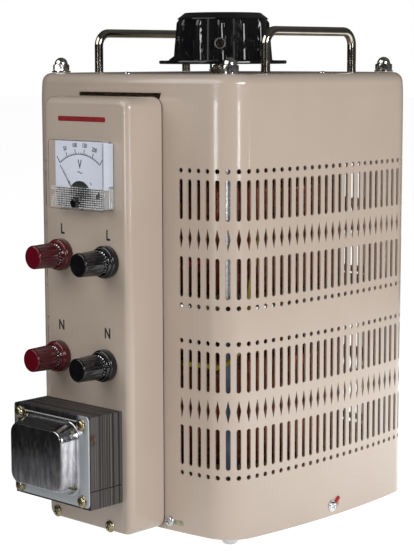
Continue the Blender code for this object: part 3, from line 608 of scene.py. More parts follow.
def vent_holes(zone):
    _, _, dots, slots, (low, high) = zone
    holes = [circle((0, z), DOT_RADIUS, 14) for z in dots]
    holes += [slot_loop(low_z, high_z, SLOT_HALF) for low_z, high_z in slots]
    middle = (low + high) / 2
    diamond = [(DIAMOND_HALF, middle), (0, high), (-DIAMOND_HALF, middle), (0, low)]
    holes.append(soften(diamond, 0.5 * MM, 1, closed=True))
    return holes


def zone_levels(zone):
    """Heights for the points on a column's sides, close beside the holes."""
    low, high, dots, slots, diamond = zone
    marks = [low, high, *diamond]
    for z in dots:
        marks += [z - DOT_RADIUS, z + DOT_RADIUS]
    for pair in slots:
        marks += list(pair)
    marks.sort()
    levels = []
    for start, end in zip(marks, marks[1:]):
        steps = max(1, ceil((end - start) / (6 * MM)))
        levels += [start + (end - start) * i / steps for i in range(steps)]
    return levels + [marks[-1]]


def column_panel(levels, holes):
    """One column of the wall, a pitch wide, as points and triangles."""
    shares = (-0.5, -0.25, 0, 0.25, 0.5)
    outline = [(share * PITCH, levels[0]) for share in shares]
    outline += [(PITCH / 2, level) for level in levels[1:-1]]
    outline += [(share * PITCH, levels[-1]) for share in reversed(shares)]
    outline += [(-PITCH / 2, level) for level in reversed(levels[1:-1])]
    extra = [(share * PITCH, level) for level in levels[1:-1] for share in shares[1:-1]]
    extra = [point for point in extra if not any(near_hole(point, hole) for hole in holes)]
    return panel(outline, holes, extra)


def near_hole(point, hole):
    margin = 0.6 * MM
    xs = [x for x, _ in hole]
    zs = [z for _, z in hole]
    return min(xs) - margin < point[0] < max(xs) + margin and min(zs) - margin < point[1] < max(zs) + margin


class Sheet:
    """A bent sheet with a thickness, welded where its points share a key."""

    def __init__(self, thickness):
        self.thickness = thickness
        self.index = {}
        self.outer = []
        self.normals = []
        self.triangles = []

    def point(self, key, place, normal):
        if key not in self.index:
            self.index[key] = len(self.outer)
            self.outer.append(place)
            self.normals.append(normal)
        return self.index[key]

    def add(self, indices, triangles):
        """Adds the triangles that keep three separate corners."""
        for triangle in triangles:
            corners = tuple(indices[i] for i in triangle)
            if len(set(corners)) == 3:
                self.triangles.append(corners)

    def mesh(self, name):
        """Outer faces, inner faces and a rim along every open edge, with the outer normals kept."""
        count = len(self.outer)
        inner = [place - self.thickness * normal for place, normal in zip(self.outer, self.normals)]
        faces = self.triangles + [tuple(count + i for i in reversed(t)) for t in self.triangles]
        used = dict.fromkeys(edge for a, b, c in self.triangles for edge in ((a, b), (b, c), (c, a)))
        rims = [(b, a, count + a, count + b) for a, b in used if (b, a) not in used]
        mesh = bpy.data.meshes.new(name)
        mesh.from_pydata(self.outer + inner, [], faces + rims)
        mesh.shade_smooth()
        custom = np.zeros((len(mesh.loops), 3))
        for corner, vertex in enumerate(vertex for face in faces for vertex in face):
            custom[corner] = self.normals[vertex] if vertex < count else -self.normals[vertex - count]
        for polygon in list(mesh.polygons)[len(faces):]:
            for corner in polygon.loop_indices:
                custom[corner] = polygon.normal
        mesh.normals_split_custom_set(custom.tolist())
        return mesh


def case_bands():
    """Stretches of the wall from bottom to top: their levels, and their holes if vented."""
    low_zone, high_zone = VENT_ZONES
    lip = [WINDOW_TOP + LIP * share for share in (0, 0.2, 0.4, 0.6, 0.8, 1.0)]
    steps = 8
    edge = [FILLET_START + TOP_EDGE * pi / 2 * step / steps for step in range(steps + 1)]
    return [
        ([CASE_LOW.z, 14 * MM, WINDOW_BOTTOM], []),
        ([WINDOW_BOTTOM, low_zone[0]], []),
        (zone_levels(low_zone), vent_holes(low_zone)),
        ([low_zone[1], high_zone[0]], []),
        (zone_levels(high_zone), vent_holes(high_zone)),
        ([high_zone[1], 325 * MM, FILLET_START - LEAN_HEIGHT, 350 * MM, WINDOW_TOP], []),
        (lip + [level for level in edge if level > lip[-1] + 0.2 * MM], []),
    ]


def key_of(*sizes):
    """Sizes rounded to a micrometre, so that the same place always has the same key."""
    return tuple(round(size / MM, 3) for size in sizes)


def wall_key(s, h):
    """The key of a place on the wall, the same after a whole trip round it."""
    round_trip, = key_of(4 * QUARTER)
    s, h = key_of(s % (4 * QUARTER), h)
    return s % round_trip, h


def perforated_case():
    """The case, column by column, with its vents and the opening behind the terminal box."""
    sheet = Sheet(SHEET)
    bands = case_bands()
    panels = [(column_panel(levels, holes), column_panel(levels, [])) for levels, holes in bands]
    for column in range(COLUMNS):
        centre = FIRST_COLUMN - column * PITCH
        from_box = abs(from_front(centre))
        for number, (vented, plain) in enumerate(panels):
            if from_box < WINDOW_HALF and number in WINDOW_BANDS:
                continue
            points, triangles = plain if from_box < PLAIN_HALF else vented
            indices = [sheet.point(wall_key(centre + x, h), *case_place(centre + x, h)) for x, h in points]
            sheet.add(indices, triangles)
    case_top(sheet, bands[-1][0][-1])
    mesh = sheet.mesh("perforated_case")
    finish_piece("perforated_case", mesh, "case_paint", node="case_shell", angle=None)


def case_top(sheet, rim_h):
    """The flat top, with holes for the shaft's gland and the tie rods."""
    gland_hole, rod_hole = mm(9.2, 4.4)
    rim = {}
    for column in range(COLUMNS):
        for share in (0, 0.25, 0.5, 0.75):
            s = (FIRST_COLUMN - (column + 0.5 - share) * PITCH) % (4 * QUARTER)
            rim[s] = wall_key(s, rim_h)
    order = [rim[s] for s in sorted(rim)]
    ring = [sheet.outer[sheet.index[key]] for key in order]
    reach = middle("tie_rod_front_right")[0]
    holes = [circle((0, 0), gland_hole, 32)]
    holes += [circle((x, y), rod_hole, 20) for x in (-reach, reach) for y in (-reach, reach)]
    points, triangles = panel([(p.x, p.y) for p in ring], holes)
    near = {key_of(p.x, p.y): key for p, key in zip(ring, order)}
    up = Vector((0, 0, 1))
    indices = []
    for x, y in points:
        key = near.get(key_of(x, y), ("top", *key_of(x, y)))
        indices.append(sheet.point(key, Vector((x, y, CASE_TOP)), up))
    sheet.add(indices, triangles)


# ------------------------------------------------------------ shared shapes


def evaluated_mesh(made):
    """A new mesh with an object's modifiers applied, or of its text."""
    graph = bpy.context.evaluated_depsgraph_get()
    return bpy.data.meshes.new_from_object(made.evaluated_get(graph))


def cut(shape, *tools):
    """The shape with the tools cut out of it."""
    target = add_object("being_cut", to_mesh("being_cut", shape))
    helpers = [target]
    for tool in tools:
        helpers.append(add_object("tool", to_mesh("tool", tool)))
        made = target.modifiers.new("Cut", "BOOLEAN")
        made.operation = "DIFFERENCE"
        made.object = helpers[-1]
    mesh = evaluated_mesh(target)
    for helper in helpers:
        bpy.data.objects.remove(helper, do_unlink=True)
    result = bmesh.new()
    result.from_mesh(mesh)
    return result


def turned_block(low, high, angle):
    shape = bmesh.new()
    box_into(shape, low, high)
    shape.transform(Matrix.Rotation(angle, 4, "Z"))
    return shape


def at_front(x, z, rise=0.0):
    """Places a shape that stands up along +Z so that it stands out of the terminal box's face."""
    return Matrix.Translation((x, BOX_LOW.y - rise, z)) @ FRONT


def at_foot(node):
    """Places such a shape on the middle of a CAD node's underside."""
    x, y, _ = middle(node)
    return Matrix.Translation((x, y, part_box(node)[0].z))


def half_width(node):
    low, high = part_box(node)
    return (high.x - low.x) / 2


def on_wall(s, h):
    """Places such a shape so that it stands out of the case's wall or top."""
    spot, normal = case_place(s, h)
    return Matrix.Translation(spot) @ normal.to_track_quat("Z", "Y").to_matrix().to_4x4()


def hex_rings(half_flats, steps, segments=48):
    """Rings of a hexagonal nut, cut back to a round where a step's reach is smaller."""
    rings = []
    for reach, height in steps:
        ring = []
        for i in range(segments):
            angle = 2 * pi * i / segments
            flat = half_flats / cos((angle + pi / 6) % (pi / 3) - pi / 6)
            size = min(flat, reach)
            ring.append((size * cos(angle), size * sin(angle), height))
        rings.append(ring)
    return rings


def arc(centre, radius, start, end, steps):
    """Points of a (radius, height) profile round an arc, in degrees."""
    return [
        (centre[0] + radius * cos(radians(start + (end - start) * i / steps)),
         centre[1] + radius * sin(radians(start + (end - start) * i / steps)))
        for i in range(steps + 1)
    ]


def washer_profile(inner, outer, low, high):
    edge = 0.25 * MM
    return [
        (inner, low), (outer - edge, low), (outer, low + edge), (outer, high - edge), (outer - edge, high),
        (inner, high),
    ]


def pan_screw(radius, height, washer=0.0, turn=0.3):
    """A cross-recessed pan head standing on the origin, on a washer if one is asked for."""
    lift = 0.9 * MM if washer else 0.0
    dome = ((0, 1), (0.35, 0.98), (0.68, 0.86), (0.88, 0.64), (0.98, 0.34), (1, 0.1), (1, 0), (0, 0))
    shape = lathe([(across * radius, height * up + lift) for across, up in dome], 40)
    reach = 0.56 * radius
    half = 0.12 * radius
    floor = lift + 0.35 * height
    arms = [
        turned_block((-reach, -half, floor), (reach, half, 2 * height + lift), turn + quarter)
        for quarter in (0, pi / 2)
    ]
    shape = cut(shape, *arms)
    if washer:
        lathe(washer_profile(0.3 * radius, washer, 0, lift), 40, close=True, shape=shape)
    return shape


# -------------------------------------------------------------- top fittings


def bar_handles():
    """Chrome bar handles, bent at both ends."""
    for side in ("left", "right"):
        node = "carry_handle_" + side
        low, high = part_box(node)
        x = middle(node)[0]
        radius = half_width(node)
        half = high.y - radius
        top = high.z - radius
        bend = 3 * radius
        leg = [Vector((x, -half, low.z + share * (top - bend - low.z))) for share in (0, 0.3, 0.7)]
        leg += [Vector((x, -half + bend * across, top - bend * up)) for across, up in quarter_turn(10)]
        route = leg + [Vector((x, 0, top))] + [Vector((p.x, -p.y, p.z)) for p in reversed(leg)]
        place_piece("chrome_handle_" + side, tube(route, radius, 28), "chrome", node=node)


def acorn_nuts():
    """A washer, a chamfered hexagon and a dome on the top of each tie rod."""
    half_flats, washer_top, hex_foot, hex_top, dome_foot, dome_radius = mm(6.4, 1.4, 1.9, 6.9, 7.1, 5.7)
    corner = half_flats / cos(pi / 6)
    steps = [(half_flats, washer_top), (corner, hex_foot), (corner, 6.2 * MM), (half_flats, hex_top)]
    steps += mm((5.5, 7.0))
    for end in CORNERS:
        node = "acorn_nut_" + end
        shape = lathe([(0, 0)] + washer_profile(0, half_width(node), 0, washer_top)[1:], 48)
        skin(shape, hex_rings(half_flats, steps))
        lathe([(dome_radius, hex_top), *arc((0, dome_foot), dome_radius, 0, 90, 8)], 40, shape=shape)
        place_piece("domed_nut_" + end, shape, "chrome", at_foot(node), node=node, look=NUT_PLATE)


def foot_nuts():
    """A domed nut under each corner, with a small flat to stand on."""
    pad, edge, hollow = mm(4.4, 0.3, 0.25)
    for end in CORNERS:
        node = "foot_nut_" + end
        low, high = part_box(node)
        radius = half_width(node)
        rise = high.z - low.z
        waist = 0.5 * rise
        profile = [(0, rise), (radius - edge, rise), (radius, rise - edge)]
        turns = [step * pi / 12 for step in range(7)]
        profile += [(pad + (radius - pad) * cos(turn), waist * (1 - sin(turn))) for turn in turns]
        profile += [(0.45 * radius, 0), (0.40 * radius, hollow), (0, hollow)]
        place_piece("dome_foot_" + end, lathe(profile, 48), "zinc", at_foot(node), node=node)


def gland():
    """The shaft's brass bush through the top, with its hexagonal nut."""
    low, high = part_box("top_bearing")
    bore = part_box("shaft")[1].x + 0.35 * MM
    outer, edge = mm(8.6, 0.5)
    profile = [(bore, low.z), (outer, low.z), (outer, high.z - edge), (outer - edge, high.z), (bore, high.z)]
    shape = lathe(profile, 48, close=True)
    half_flats = high.x
    corner = half_flats / cos(pi / 6)
    foot = CASE_TOP + 0.3 * MM
    reaches = (corner * 0.9, corner, corner, half_flats)
    steps = [(reach, foot + rise) for reach, rise in zip(reaches, mm(0, 0.6, 2.9, 3.5))]
    skin(shape, hex_rings(half_flats * 0.87, steps))
    place_piece("shaft_gland", shape, "brass", node="top_bearing")


# ------------------------------------------------------------------ the knob

RIBS = 12
RIB_FOOT, RIB_TIP = mm(5.2, 2.4)
RIB_HEIGHT = 0.72
RIB_ROUND = 0.94
SET_SCREW_ANGLE = radians(-50.3)
POINTER_ANGLE = radians(-106.6)


def knob_reach(angle, height, drum_foot, drum_top):
    """The drum's radius with its half-cone ribs, which are rounded off at the top."""
    share = min(max((height - drum_foot[1]) / (drum_top[1] - drum_foot[1]), 0), 1)
    drum = drum_foot[0] + (drum_top[0] - drum_foot[0]) * share
    width = RIB_FOOT + (RIB_TIP - RIB_FOOT) * share
    if share > RIB_ROUND:
        width *= sqrt(max(0.0, 1 - ((share - RIB_ROUND) / (1 - RIB_ROUND)) ** 2))
    spacing = 2 * pi / RIBS
    offset = (angle - SET_SCREW_ANGLE + spacing / 2) % spacing - spacing / 2
    across = drum * sin(offset)
    if abs(across) >= width:
        return drum
    return drum + RIB_HEIGHT * sqrt(width ** 2 - across ** 2)


def knob_shape(rim):
    """The knob as rings, from its bore under its flange, up its ribbed drum and into its dished top."""
    low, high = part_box("knob")
    drum_foot = (39.0 * MM, rim)
    drum_top = (38.0 * MM, high.z - 5.6 * MM)
    wall_foot = rim + 0.5 * MM
    segments = RIBS * 28
    angles = [SET_SCREW_ANGLE + 2 * pi * i / segments for i in range(segments)]

    def ring(height, radius=None, grow=0.0):
        made = []
        for a in angles:
            reach = radius or knob_reach(a, height, drum_foot, drum_top) + grow
            made.append((reach * cos(a), reach * sin(a), height))
        return made

    bore_top, ceiling, flange = low.z + 33 * MM, high.z - 6 * MM, high.x
    underside = [
        (1e-7, bore_top), (5.35 * MM, bore_top), (5.35 * MM, low.z), (13 * MM, low.z), (13 * MM, ceiling),
        (33 * MM, ceiling), (35 * MM, low.z), (flange - 0.7 * MM, low.z), (flange, low.z + 0.7 * MM),
        (flange, rim - 0.7 * MM), (flange - 0.25 * MM, rim - 0.2 * MM), (flange - 0.8 * MM, rim),
    ]
    dish = high.z - 1.4 * MM
    top = [
        (39.2 * MM, drum_top[1] + 0.2 * MM), (39.0 * MM, drum_top[1] + 0.7 * MM),
        (33.1 * MM, high.z - 0.3 * MM), (32.4 * MM, high.z), (30.4 * MM, high.z),
        (29.6 * MM, high.z - 1.0 * MM), (8 * MM, dish), (1e-7, dish),
    ]
    wall_steps = 12
    rings = [ring(height, radius) for radius, height in underside]
    rings.append(ring(rim, grow=1.2 * MM))
    wall_rise = drum_top[1] - wall_foot
    rings += [ring(wall_foot + wall_rise * step / wall_steps) for step in range(wall_steps + 1)]
    rings += [ring(height, radius) for radius, height in top]
    shape = bmesh.new()
    skin(shape, rings)
    bmesh.ops.remove_doubles(shape, verts=shape.verts, dist=1e-6)
    return shape


def pointer_shape(rim):
    """A tent-shaped pointer on the flange, from the drum out to the rim."""
    tip, heel, ridge_end, half, rise, sunk, step = mm(53.5, 35, 40.5, 12.5, 8.6, 0.5, 2)
    shape = bmesh.new()
    corners = [(tip, 0, rim - sunk), (tip, 0, rim + 0.6 * MM), (heel, 0, rim - sunk)]
    corners.append((ridge_end, 0, rim + rise))
    corners += [(heel + step, side * half, z) for side in (-1, 1) for z in (rim - sunk, rim + sunk)]
    corners.append((heel, 0, rim + rise))
    bmesh.ops.convex_hull(shape, input=[shape.verts.new(corner) for corner in corners])
    bmesh.ops.bevel(shape, geom=shape.edges[:], offset=0.35 * MM, segments=2, affect="EDGES")
    shape.transform(Matrix.Rotation(POINTER_ANGLE, 4, "Z"))
    return shape


def knob():
    """The moulded knob, its pointer and the set screw in its side, with a lighter grey rim round the screw's
    hole as a painted glint.
    """
    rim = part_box("knob")[0].z + 3 * MM
    hole = lathe(mm((0, 0), (3.6, 0), (3.6, 24), (0, 24)), 32)
    aim = Matrix.Rotation(SET_SCREW_ANGLE, 4, "Z") @ Matrix.Translation((34 * MM, 0, rim + 14.2 * MM))
    aim = aim @ Matrix.Rotation(pi / 2, 4, "Y")
    hole.transform(aim)
    shape = cut(knob_shape(rim), hole)
    shape.from_mesh(to_mesh("pointer", pointer_shape(rim)))
    place_piece("control_knob", shape, "bakelite", body="rotor", node="knob", angle=30)
    screw = lathe(mm((0, 0), (3.1, 0), (3.1, 2), (2.8, 2.3), (0, 2.3)), 24)
    socket = bmesh.new()
    skin(socket, hex_rings(1.3 * MM, mm((2, 1), (2, 5)), 24))
    place_piece("knob_set_screw", cut(screw, socket), "shaft_steel", aim, body="rotor")
    # The rim round the set-screw hole is a lighter grey: a painted glint.
    collar = lathe(mm((3.6, 6), (4.9, 6), (4.9, 8.2), (4.3, 9.0), (3.6, 8.6)), 32, close=True)
    place_piece("set_screw_glint_rim", collar, "bakelite", aim, body="rotor", look=METER_BASE)


# ------------------------------------------------------ terminal box and screws


def terminal_cover():
    """The drawn cover: round corners, a rounded front edge and a thin wall, standing a little off the case,
    with a black band in the gap behind it as painted shade.
    """
    edge, foot_edge, corner, least, gap = mm(6, 2.4, 9, 0.8, 1.0)

    def ring(inset, depth, back=None):
        points = rounded_box(
            BOX_LOW.x + inset, BOX_HIGH.x - inset, BOX_LOW.z + inset / edge * foot_edge, BOX_HIGH.z - inset,
            max(corner - inset, least), 8, 14,
        )
        return [(x, BOX_LOW.y + depth if back is None else front_wall_y(x) - back, z) for x, z in points]

    rounding = quarter_turn(8)
    inner = edge - SHEET
    rings = [ring(SHEET + inner * across, SHEET + inner * along) for across, along in reversed(rounding)]
    rings += [ring(SHEET, 0, gap), ring(0, 0, gap)]
    rings += [ring(edge * across, edge * along) for across, along in rounding]
    shape = bmesh.new()
    skin(shape, rings)
    place_piece("terminal_cover", shape, "case_paint", node="terminal_box", angle=40)
    # Painted shade: a black band fills the gap between the cover and the case, where shadow falls.
    seal = bmesh.new()
    inset, near, far = mm(0.35, 0.05, 1.2)
    band = [(inset, far), (inset, near), (2 * SHEET, near), (2 * SHEET, far)]
    skin(seal, [ring(across, 0, back) for across, back in band], close=True)
    place_piece("terminal_cover_gap_shade", seal, "bakelite", look=INK)


def front_s(x):
    """Distance round the case to the front wall at a given x."""
    return x - QUARTER


def slotted_hole(name, place):
    """A dark slot where a fixing screw could slide."""
    half, reach, floor, lip = mm(2.1, 3.4, -1.2, 0.06)
    turns = [pi * i / 8 - pi / 2 for i in range(9)]
    outline = [
        (side * (reach + half * cos(turn)), side * half * sin(turn)) for side in (1, -1) for turn in turns
    ]
    shape = bmesh.new()
    skin(shape, [[(x, y, z) for x, y in outline] for z in (floor, lip)])
    place_piece(name, shape, "case_paint", place, look=SLOT_SHADE)


def fixing_screws():
    """The small screws of the case, the terminal box and the top, two slots and a red seal."""
    for name, x, z in (("left", *mm(-39, 6.4)), ("right", *mm(24.6, 5.6))):
        place_piece("box_screw_" + name, pan_screw(5 * MM, 2.6 * MM), "brass", at_front(x, z, -0.3 * MM))
    place = on_wall(front_s(54.4 * MM), 7.7 * MM)
    place_piece("case_screw_front", pan_screw(4.4 * MM, 2.2 * MM), "zinc", place)
    slotted_hole("case_slot_front", on_wall(front_s(63.5 * MM), 7.9 * MM))
    node = "case_screw_right"
    shape = pan_screw(4.0 * MM, 1.4 * MM, washer=4.9 * MM)
    place_piece("side_screw_right", shape, "zinc", on_wall(*middle(node)[1:]), node=node)
    slotted_hole("case_slot_right", on_wall(3.5 * MM, 8.8 * MM))
    tag = tube(mm((0, 0, 0.6), (2.2, 2.0, 0.6), (4.6, 3.6, 0.4)), 1.6 * MM, 12)
    place_piece("red_seal", tag, "post_red", on_wall(3.4 * MM, 11 * MM), look=RED_SLEEVE)
    for name, x, y in (("front", 0, -114 * MM), ("right", 111 * MM, 0)):
        place = Matrix.Translation((x, y, CASE_TOP))
        place_piece("top_screw_" + name, pan_screw(3 * MM, 1.6 * MM), "zinc", place)


def panel_marks():
    """A plain red stripe, and generic live and neutral letters over the posts."""
    face = BOX_LOW.y
    stripe = slab(rounded_box(*mm(-31.5, 24, 332.5, 336.5, 1), 4), face + 0.02 * MM, face - 0.08 * MM)
    place_piece("panel_stripe", stripe, "post_red", look=RED_PRINT)
    shape = bmesh.new()
    for wire, letter, shift, lift in (("live", "L", *mm(0.6, 7.6)), ("neutral", "N", *mm(2.0, 12.6))):
        for side in ("input_", "output_"):
            node = "post_collar_" + side + wire
            x = middle(node)[0] + shift
            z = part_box(node)[1].z + lift
            lettering(shape, letter, x, z, 11.5 * MM, face - 0.03 * MM, swell=0.34 * MM)
    place_piece("terminal_marks", shape, "bakelite", look=INK)


def lettering(shape, text, x, z, size, y, angle=0.0, narrow=0.8, swell=0.0):
    """Adds thin flat letters that face the front."""
    data = bpy.data.curves.new("letters", "FONT")
    data.body = text
    data.size = size
    data.align_x = "CENTER"
    data.align_y = "CENTER"
    data.extrude = 0.03 * MM
    data.offset = swell
    data.resolution_u = 4
    made = add_object("letters", data)
    mesh = evaluated_mesh(made)
    bpy.data.objects.remove(made, do_unlink=True)
    squeeze = Matrix.Diagonal((narrow, 1, 1, 1))
    mesh.transform(Matrix.Translation((x, y, z)) @ FRONT @ Matrix.Rotation(angle, 4, "Z") @ squeeze)
    shape.from_mesh(mesh)


# ------------------------------------------------------------------ the meter

METER_LOW, METER_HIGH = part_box("meter_cover")
PIVOT_X, _, PIVOT_Z = middle("meter_zero_screw")
WINDOW_FLOOR = 282.5 * MM
METER_SCREWS = mm((-28.4, 275.6), (26.1, 274.7))
SCALE_RADIUS = 38.8 * MM
SCALE_START = 127
SCALE_END = 53


def ribbon(shape, points, width, y, thick=0.05 * MM):
    """A thin flat line that faces the front, along (x, z) points."""
    spots = [Vector((x, 0, z)) for x, z in points]
    near, far = Vector((0, y, 0)), Vector((0, y - thick, 0))
    rows = []
    for i, spot in enumerate(spots):
        ahead = (spots[min(i + 1, len(spots) - 1)] - spots[max(i - 1, 0)]).normalized()
        side = ahead.cross(Vector((0, 1, 0))) * width / 2
        rows.append([spot + side + near, spot + side + far, spot - side + far, spot - side + near])
    skin(shape, rows)


def meter_outline(inset, corner, steps=4):
    return rounded_box(
        METER_LOW.x + inset, METER_HIGH.x - inset, METER_LOW.z + inset, METER_HIGH.z - inset, corner, steps
    )


def scale_angle(part, whole):
    return SCALE_START + (SCALE_END - SCALE_START) * part / whole


def scale_point(degrees, radius):
    return PIVOT_X + radius * cos(radians(degrees)), PIVOT_Z + radius * sin(radians(degrees))


def dial_print(y):
    """The printed scale: its arc, marks and numbers, the unit and the needle's two stops."""
    letters_y = y - 0.03 * MM
    steps = 30
    marks = 25
    full_scale = 250
    shape = bmesh.new()
    ribbon(shape, [scale_point(scale_angle(i, steps), SCALE_RADIUS) for i in range(steps + 1)], 0.7 * MM, y)
    for i in range(marks + 1):
        degrees = scale_angle(i, marks)
        length, width = mm(1.6, 0.4) if i % 5 else mm(6.5 if i in (0, marks) else 4.2, 0.8)
        ends = [scale_point(degrees, SCALE_RADIUS), scale_point(degrees, SCALE_RADIUS + length)]
        ribbon(shape, ends, width, y)
    for value in (50, 100, 150, 200, 250):
        degrees = scale_angle(value, full_scale)
        x, z = scale_point(degrees, SCALE_RADIUS + (7.2 if value < full_scale else 9.5) * MM)
        turn = radians(degrees - 90) * 0.6
        lettering(shape, str(value), x, z, 4.8 * MM, letters_y, turn, swell=0.12 * MM)
    unit_z = PIVOT_Z + 30.5 * MM
    lettering(shape, "V", PIVOT_X, unit_z, 10 * MM, letters_y, narrow=0.72, swell=0.2 * MM)
    half_wave = 6
    step, wave_rise, height = mm(0.45, 24.2, 0.6)
    wave = [
        (PIVOT_X + (i - half_wave) * step, PIVOT_Z + wave_rise + height * sin(i * pi / half_wave))
        for i in range(2 * half_wave + 1)
    ]
    ribbon(shape, wave, 0.7 * MM, y)
    for side in (-1, 1):
        foot = PIVOT_X + side * 13.5 * MM
        stop = [(foot, WINDOW_FLOOR + 0.3 * MM), (foot - side * 1.2 * MM, WINDOW_FLOOR + 2.2 * MM)]
        ribbon(shape, stop, 0.8 * MM, y)
    place_piece("dial_print", shape, "bakelite", look=INK, angle=None)


def meter_dial():
    """The white dial plate, its print and the black hub in front of it."""
    front, back = (corner.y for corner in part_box("meter_dial"))
    inset, sunk, top, hub_rise, hub_radius, hub_floor = mm(1.6, 3, 1.8, 4.2, 13.3, 2.5)
    outline = rounded_box(
        METER_LOW.x + inset, METER_HIGH.x - inset, WINDOW_FLOOR - sunk, METER_HIGH.z - top, 0.8 * MM, 3
    )
    place_piece("dial_plate", slab(outline, back, front), "dial_white", node="meter_dial")
    dial_print(front + 0.02 * MM)
    hub = circle((PIVOT_X, PIVOT_Z + hub_rise), hub_radius, 72, 0.01)
    hub = [(x, max(z, METER_LOW.z + hub_floor)) for x, z in hub]
    place_piece("dial_hub", slab(hub, front - 0.05 * MM, front - 0.5 * MM), "bakelite")


def meter_inside():
    """The base plate with its barrel behind the panel, and two screws that show through the frosted part."""
    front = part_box("meter_frame")[0].y
    shape = slab(meter_outline(1.7 * MM, 1 * MM, 3), BOX_LOW.y - 0.3 * MM, front)
    barrel = lathe(mm((0, 0), (26, 0), (26, 25), (24, 27), (0, 27)), 48)
    x, _, z = middle("meter_cover")
    barrel.transform(Matrix.Translation((x, BOX_LOW.y - 0.6 * MM, z)) @ Matrix.Rotation(-pi / 2, 4, "X"))
    shape.from_mesh(to_mesh("barrel", barrel))
    place_piece("meter_base", shape, "dial_white", look=METER_BASE, node="meter_frame")
    for name, (x, z) in zip(("left", "right"), METER_SCREWS):
        place = at_front(x, z, BOX_LOW.y - front + 0.2 * MM)
        place_piece("meter_screw_" + name, pan_screw(2.1 * MM, 1.4 * MM), "brass", place)


def meter_window():
    """The clear cover's pane and walls, with a hole for the zero screw."""
    wall, edge, inner_edge, corner, inner_corner = mm(1.5, 1.2, 0.6, 2, 1)

    def ring(inset, y, radius):
        return [(x, y, z) for x, z in meter_outline(inset, radius)]

    rounding = quarter_turn(4)
    rings = [
        ring(wall + inner_edge * across, METER_LOW.y + wall + inner_edge * along, inner_corner)
        for across, along in reversed(rounding)
    ]
    rings += [ring(wall, METER_HIGH.y, inner_corner), ring(0, METER_HIGH.y, corner)]
    rings += [ring(edge * across, METER_LOW.y + edge * along, corner) for across, along in rounding]
    shape = bmesh.new()
    skin(shape, rings)
    hole = lathe(mm((0, 0), (3.85, 0), (3.85, 6), (0, 6)), 32)
    hole.transform(Matrix.Translation((PIVOT_X, METER_LOW.y + 4 * MM, PIVOT_Z)) @ FRONT)
    place_piece("meter_window", cut(shape, hole), "clear_plastic", node="meter_cover")


def meter_grid():
    """Small square pads moulded inside the cover's lower part, smaller in a cloud over the works."""
    across, pitch, side_margin, floor, gap_left = mm(2.05, 1.75, 3, 1.6, 1.5)
    bevel, taper, thick = mm(0.15, 0.12, 0.45)
    columns = int((METER_HIGH.x - METER_LOW.x - side_margin) / across)
    rows = int((WINDOW_FLOOR - METER_LOW.z - gap_left) / pitch)
    start = (METER_LOW.x + METER_HIGH.x - columns * across) / 2
    back = METER_LOW.y + 2.1 * MM
    clear = [((PIVOT_X, PIVOT_Z), 4.9 * MM), *((screw, 2.4 * MM) for screw in METER_SCREWS)]
    cloud_centre = (PIVOT_X + 7 * MM, PIVOT_Z + 8 * MM)
    cloud_radius = 15 * MM
    chance = random.Random(5)
    shape = bmesh.new()
    for row in range(rows):
        for column in range(columns):
            x = start + column * across
            z = METER_LOW.z + floor + row * pitch
            pad = (x + across / 2, z + pitch / 2)
            if any(squared_distance(pad, spot) < radius ** 2 for spot, radius in clear):
                continue
            cloud = max(0.0, 1 - sqrt(squared_distance(pad, cloud_centre)) / cloud_radius)
            gap = (0.22 + 0.36 * cloud + chance.uniform(0, 0.16)) * MM
            rings = []
            for inset, y in ((gap, back), (gap + bevel, back - thick)):
                left, right = x + inset + taper, x + across - inset - taper
                low, high = z + inset, z + pitch - inset
                rings.append([(left, y, low), (right, y, low), (right, y, high), (left, y, high)])
            skin(shape, rings)
    place_piece("meter_grid", shape, "clear_plastic", look=GRID_PLASTIC, angle=None)


def squared_distance(first, second):
    return (first[0] - second[0]) ** 2 + (first[1] - second[1]) ** 2


def meter_walls():
    """The cover's right wall, white above and frosted and ribbed below, and a dark line round its front."""
    outer, inner = METER_HIGH.x - 0.1 * MM, METER_HIGH.x - 1.45 * MM
    near, far = METER_LOW.y + 1.6 * MM, METER_HIGH.y - 0.2 * MM
    margin = 2.4 * MM
    for name, low, high, look in (
        ("meter_wall_upper", WINDOW_FLOOR, METER_HIGH.z - margin, WHITE_WALL),
        ("meter_wall_lower", METER_LOW.z + margin, WINDOW_FLOOR - 0.3 * MM, FROSTED_WALL),
    ):
        side = bmesh.new()
        box_into(side, (inner, near, low), (outer, far, high))
        place_piece(name, side, "clear_plastic", look=look, angle=None)
    ribs = bmesh.new()
    left, right = outer - 0.2 * MM, METER_HIGH.x - 0.02 * MM
    low, high = METER_LOW.z + 3 * MM, WINDOW_FLOOR - 2 * MM
    for depth in mm(0.4, 2.2, 4):
        box_into(ribs, (left, far - depth - 0.5 * MM, low), (right, far - depth, high))
    place_piece("meter_wall_ribs", ribs, "clear_plastic", look=GRID_PLASTIC, angle=None)
    line = bmesh.new()
    inset = 0.7 * MM
    loop = meter_outline(inset, 1.6 * MM)
    ribbon(line, loop + loop[:1], 0.4 * MM, METER_LOW.y + inset, 0.1 * MM)
    place_piece("meter_rim_line", line, "clear_plastic", look=METER_BASE, angle=None)


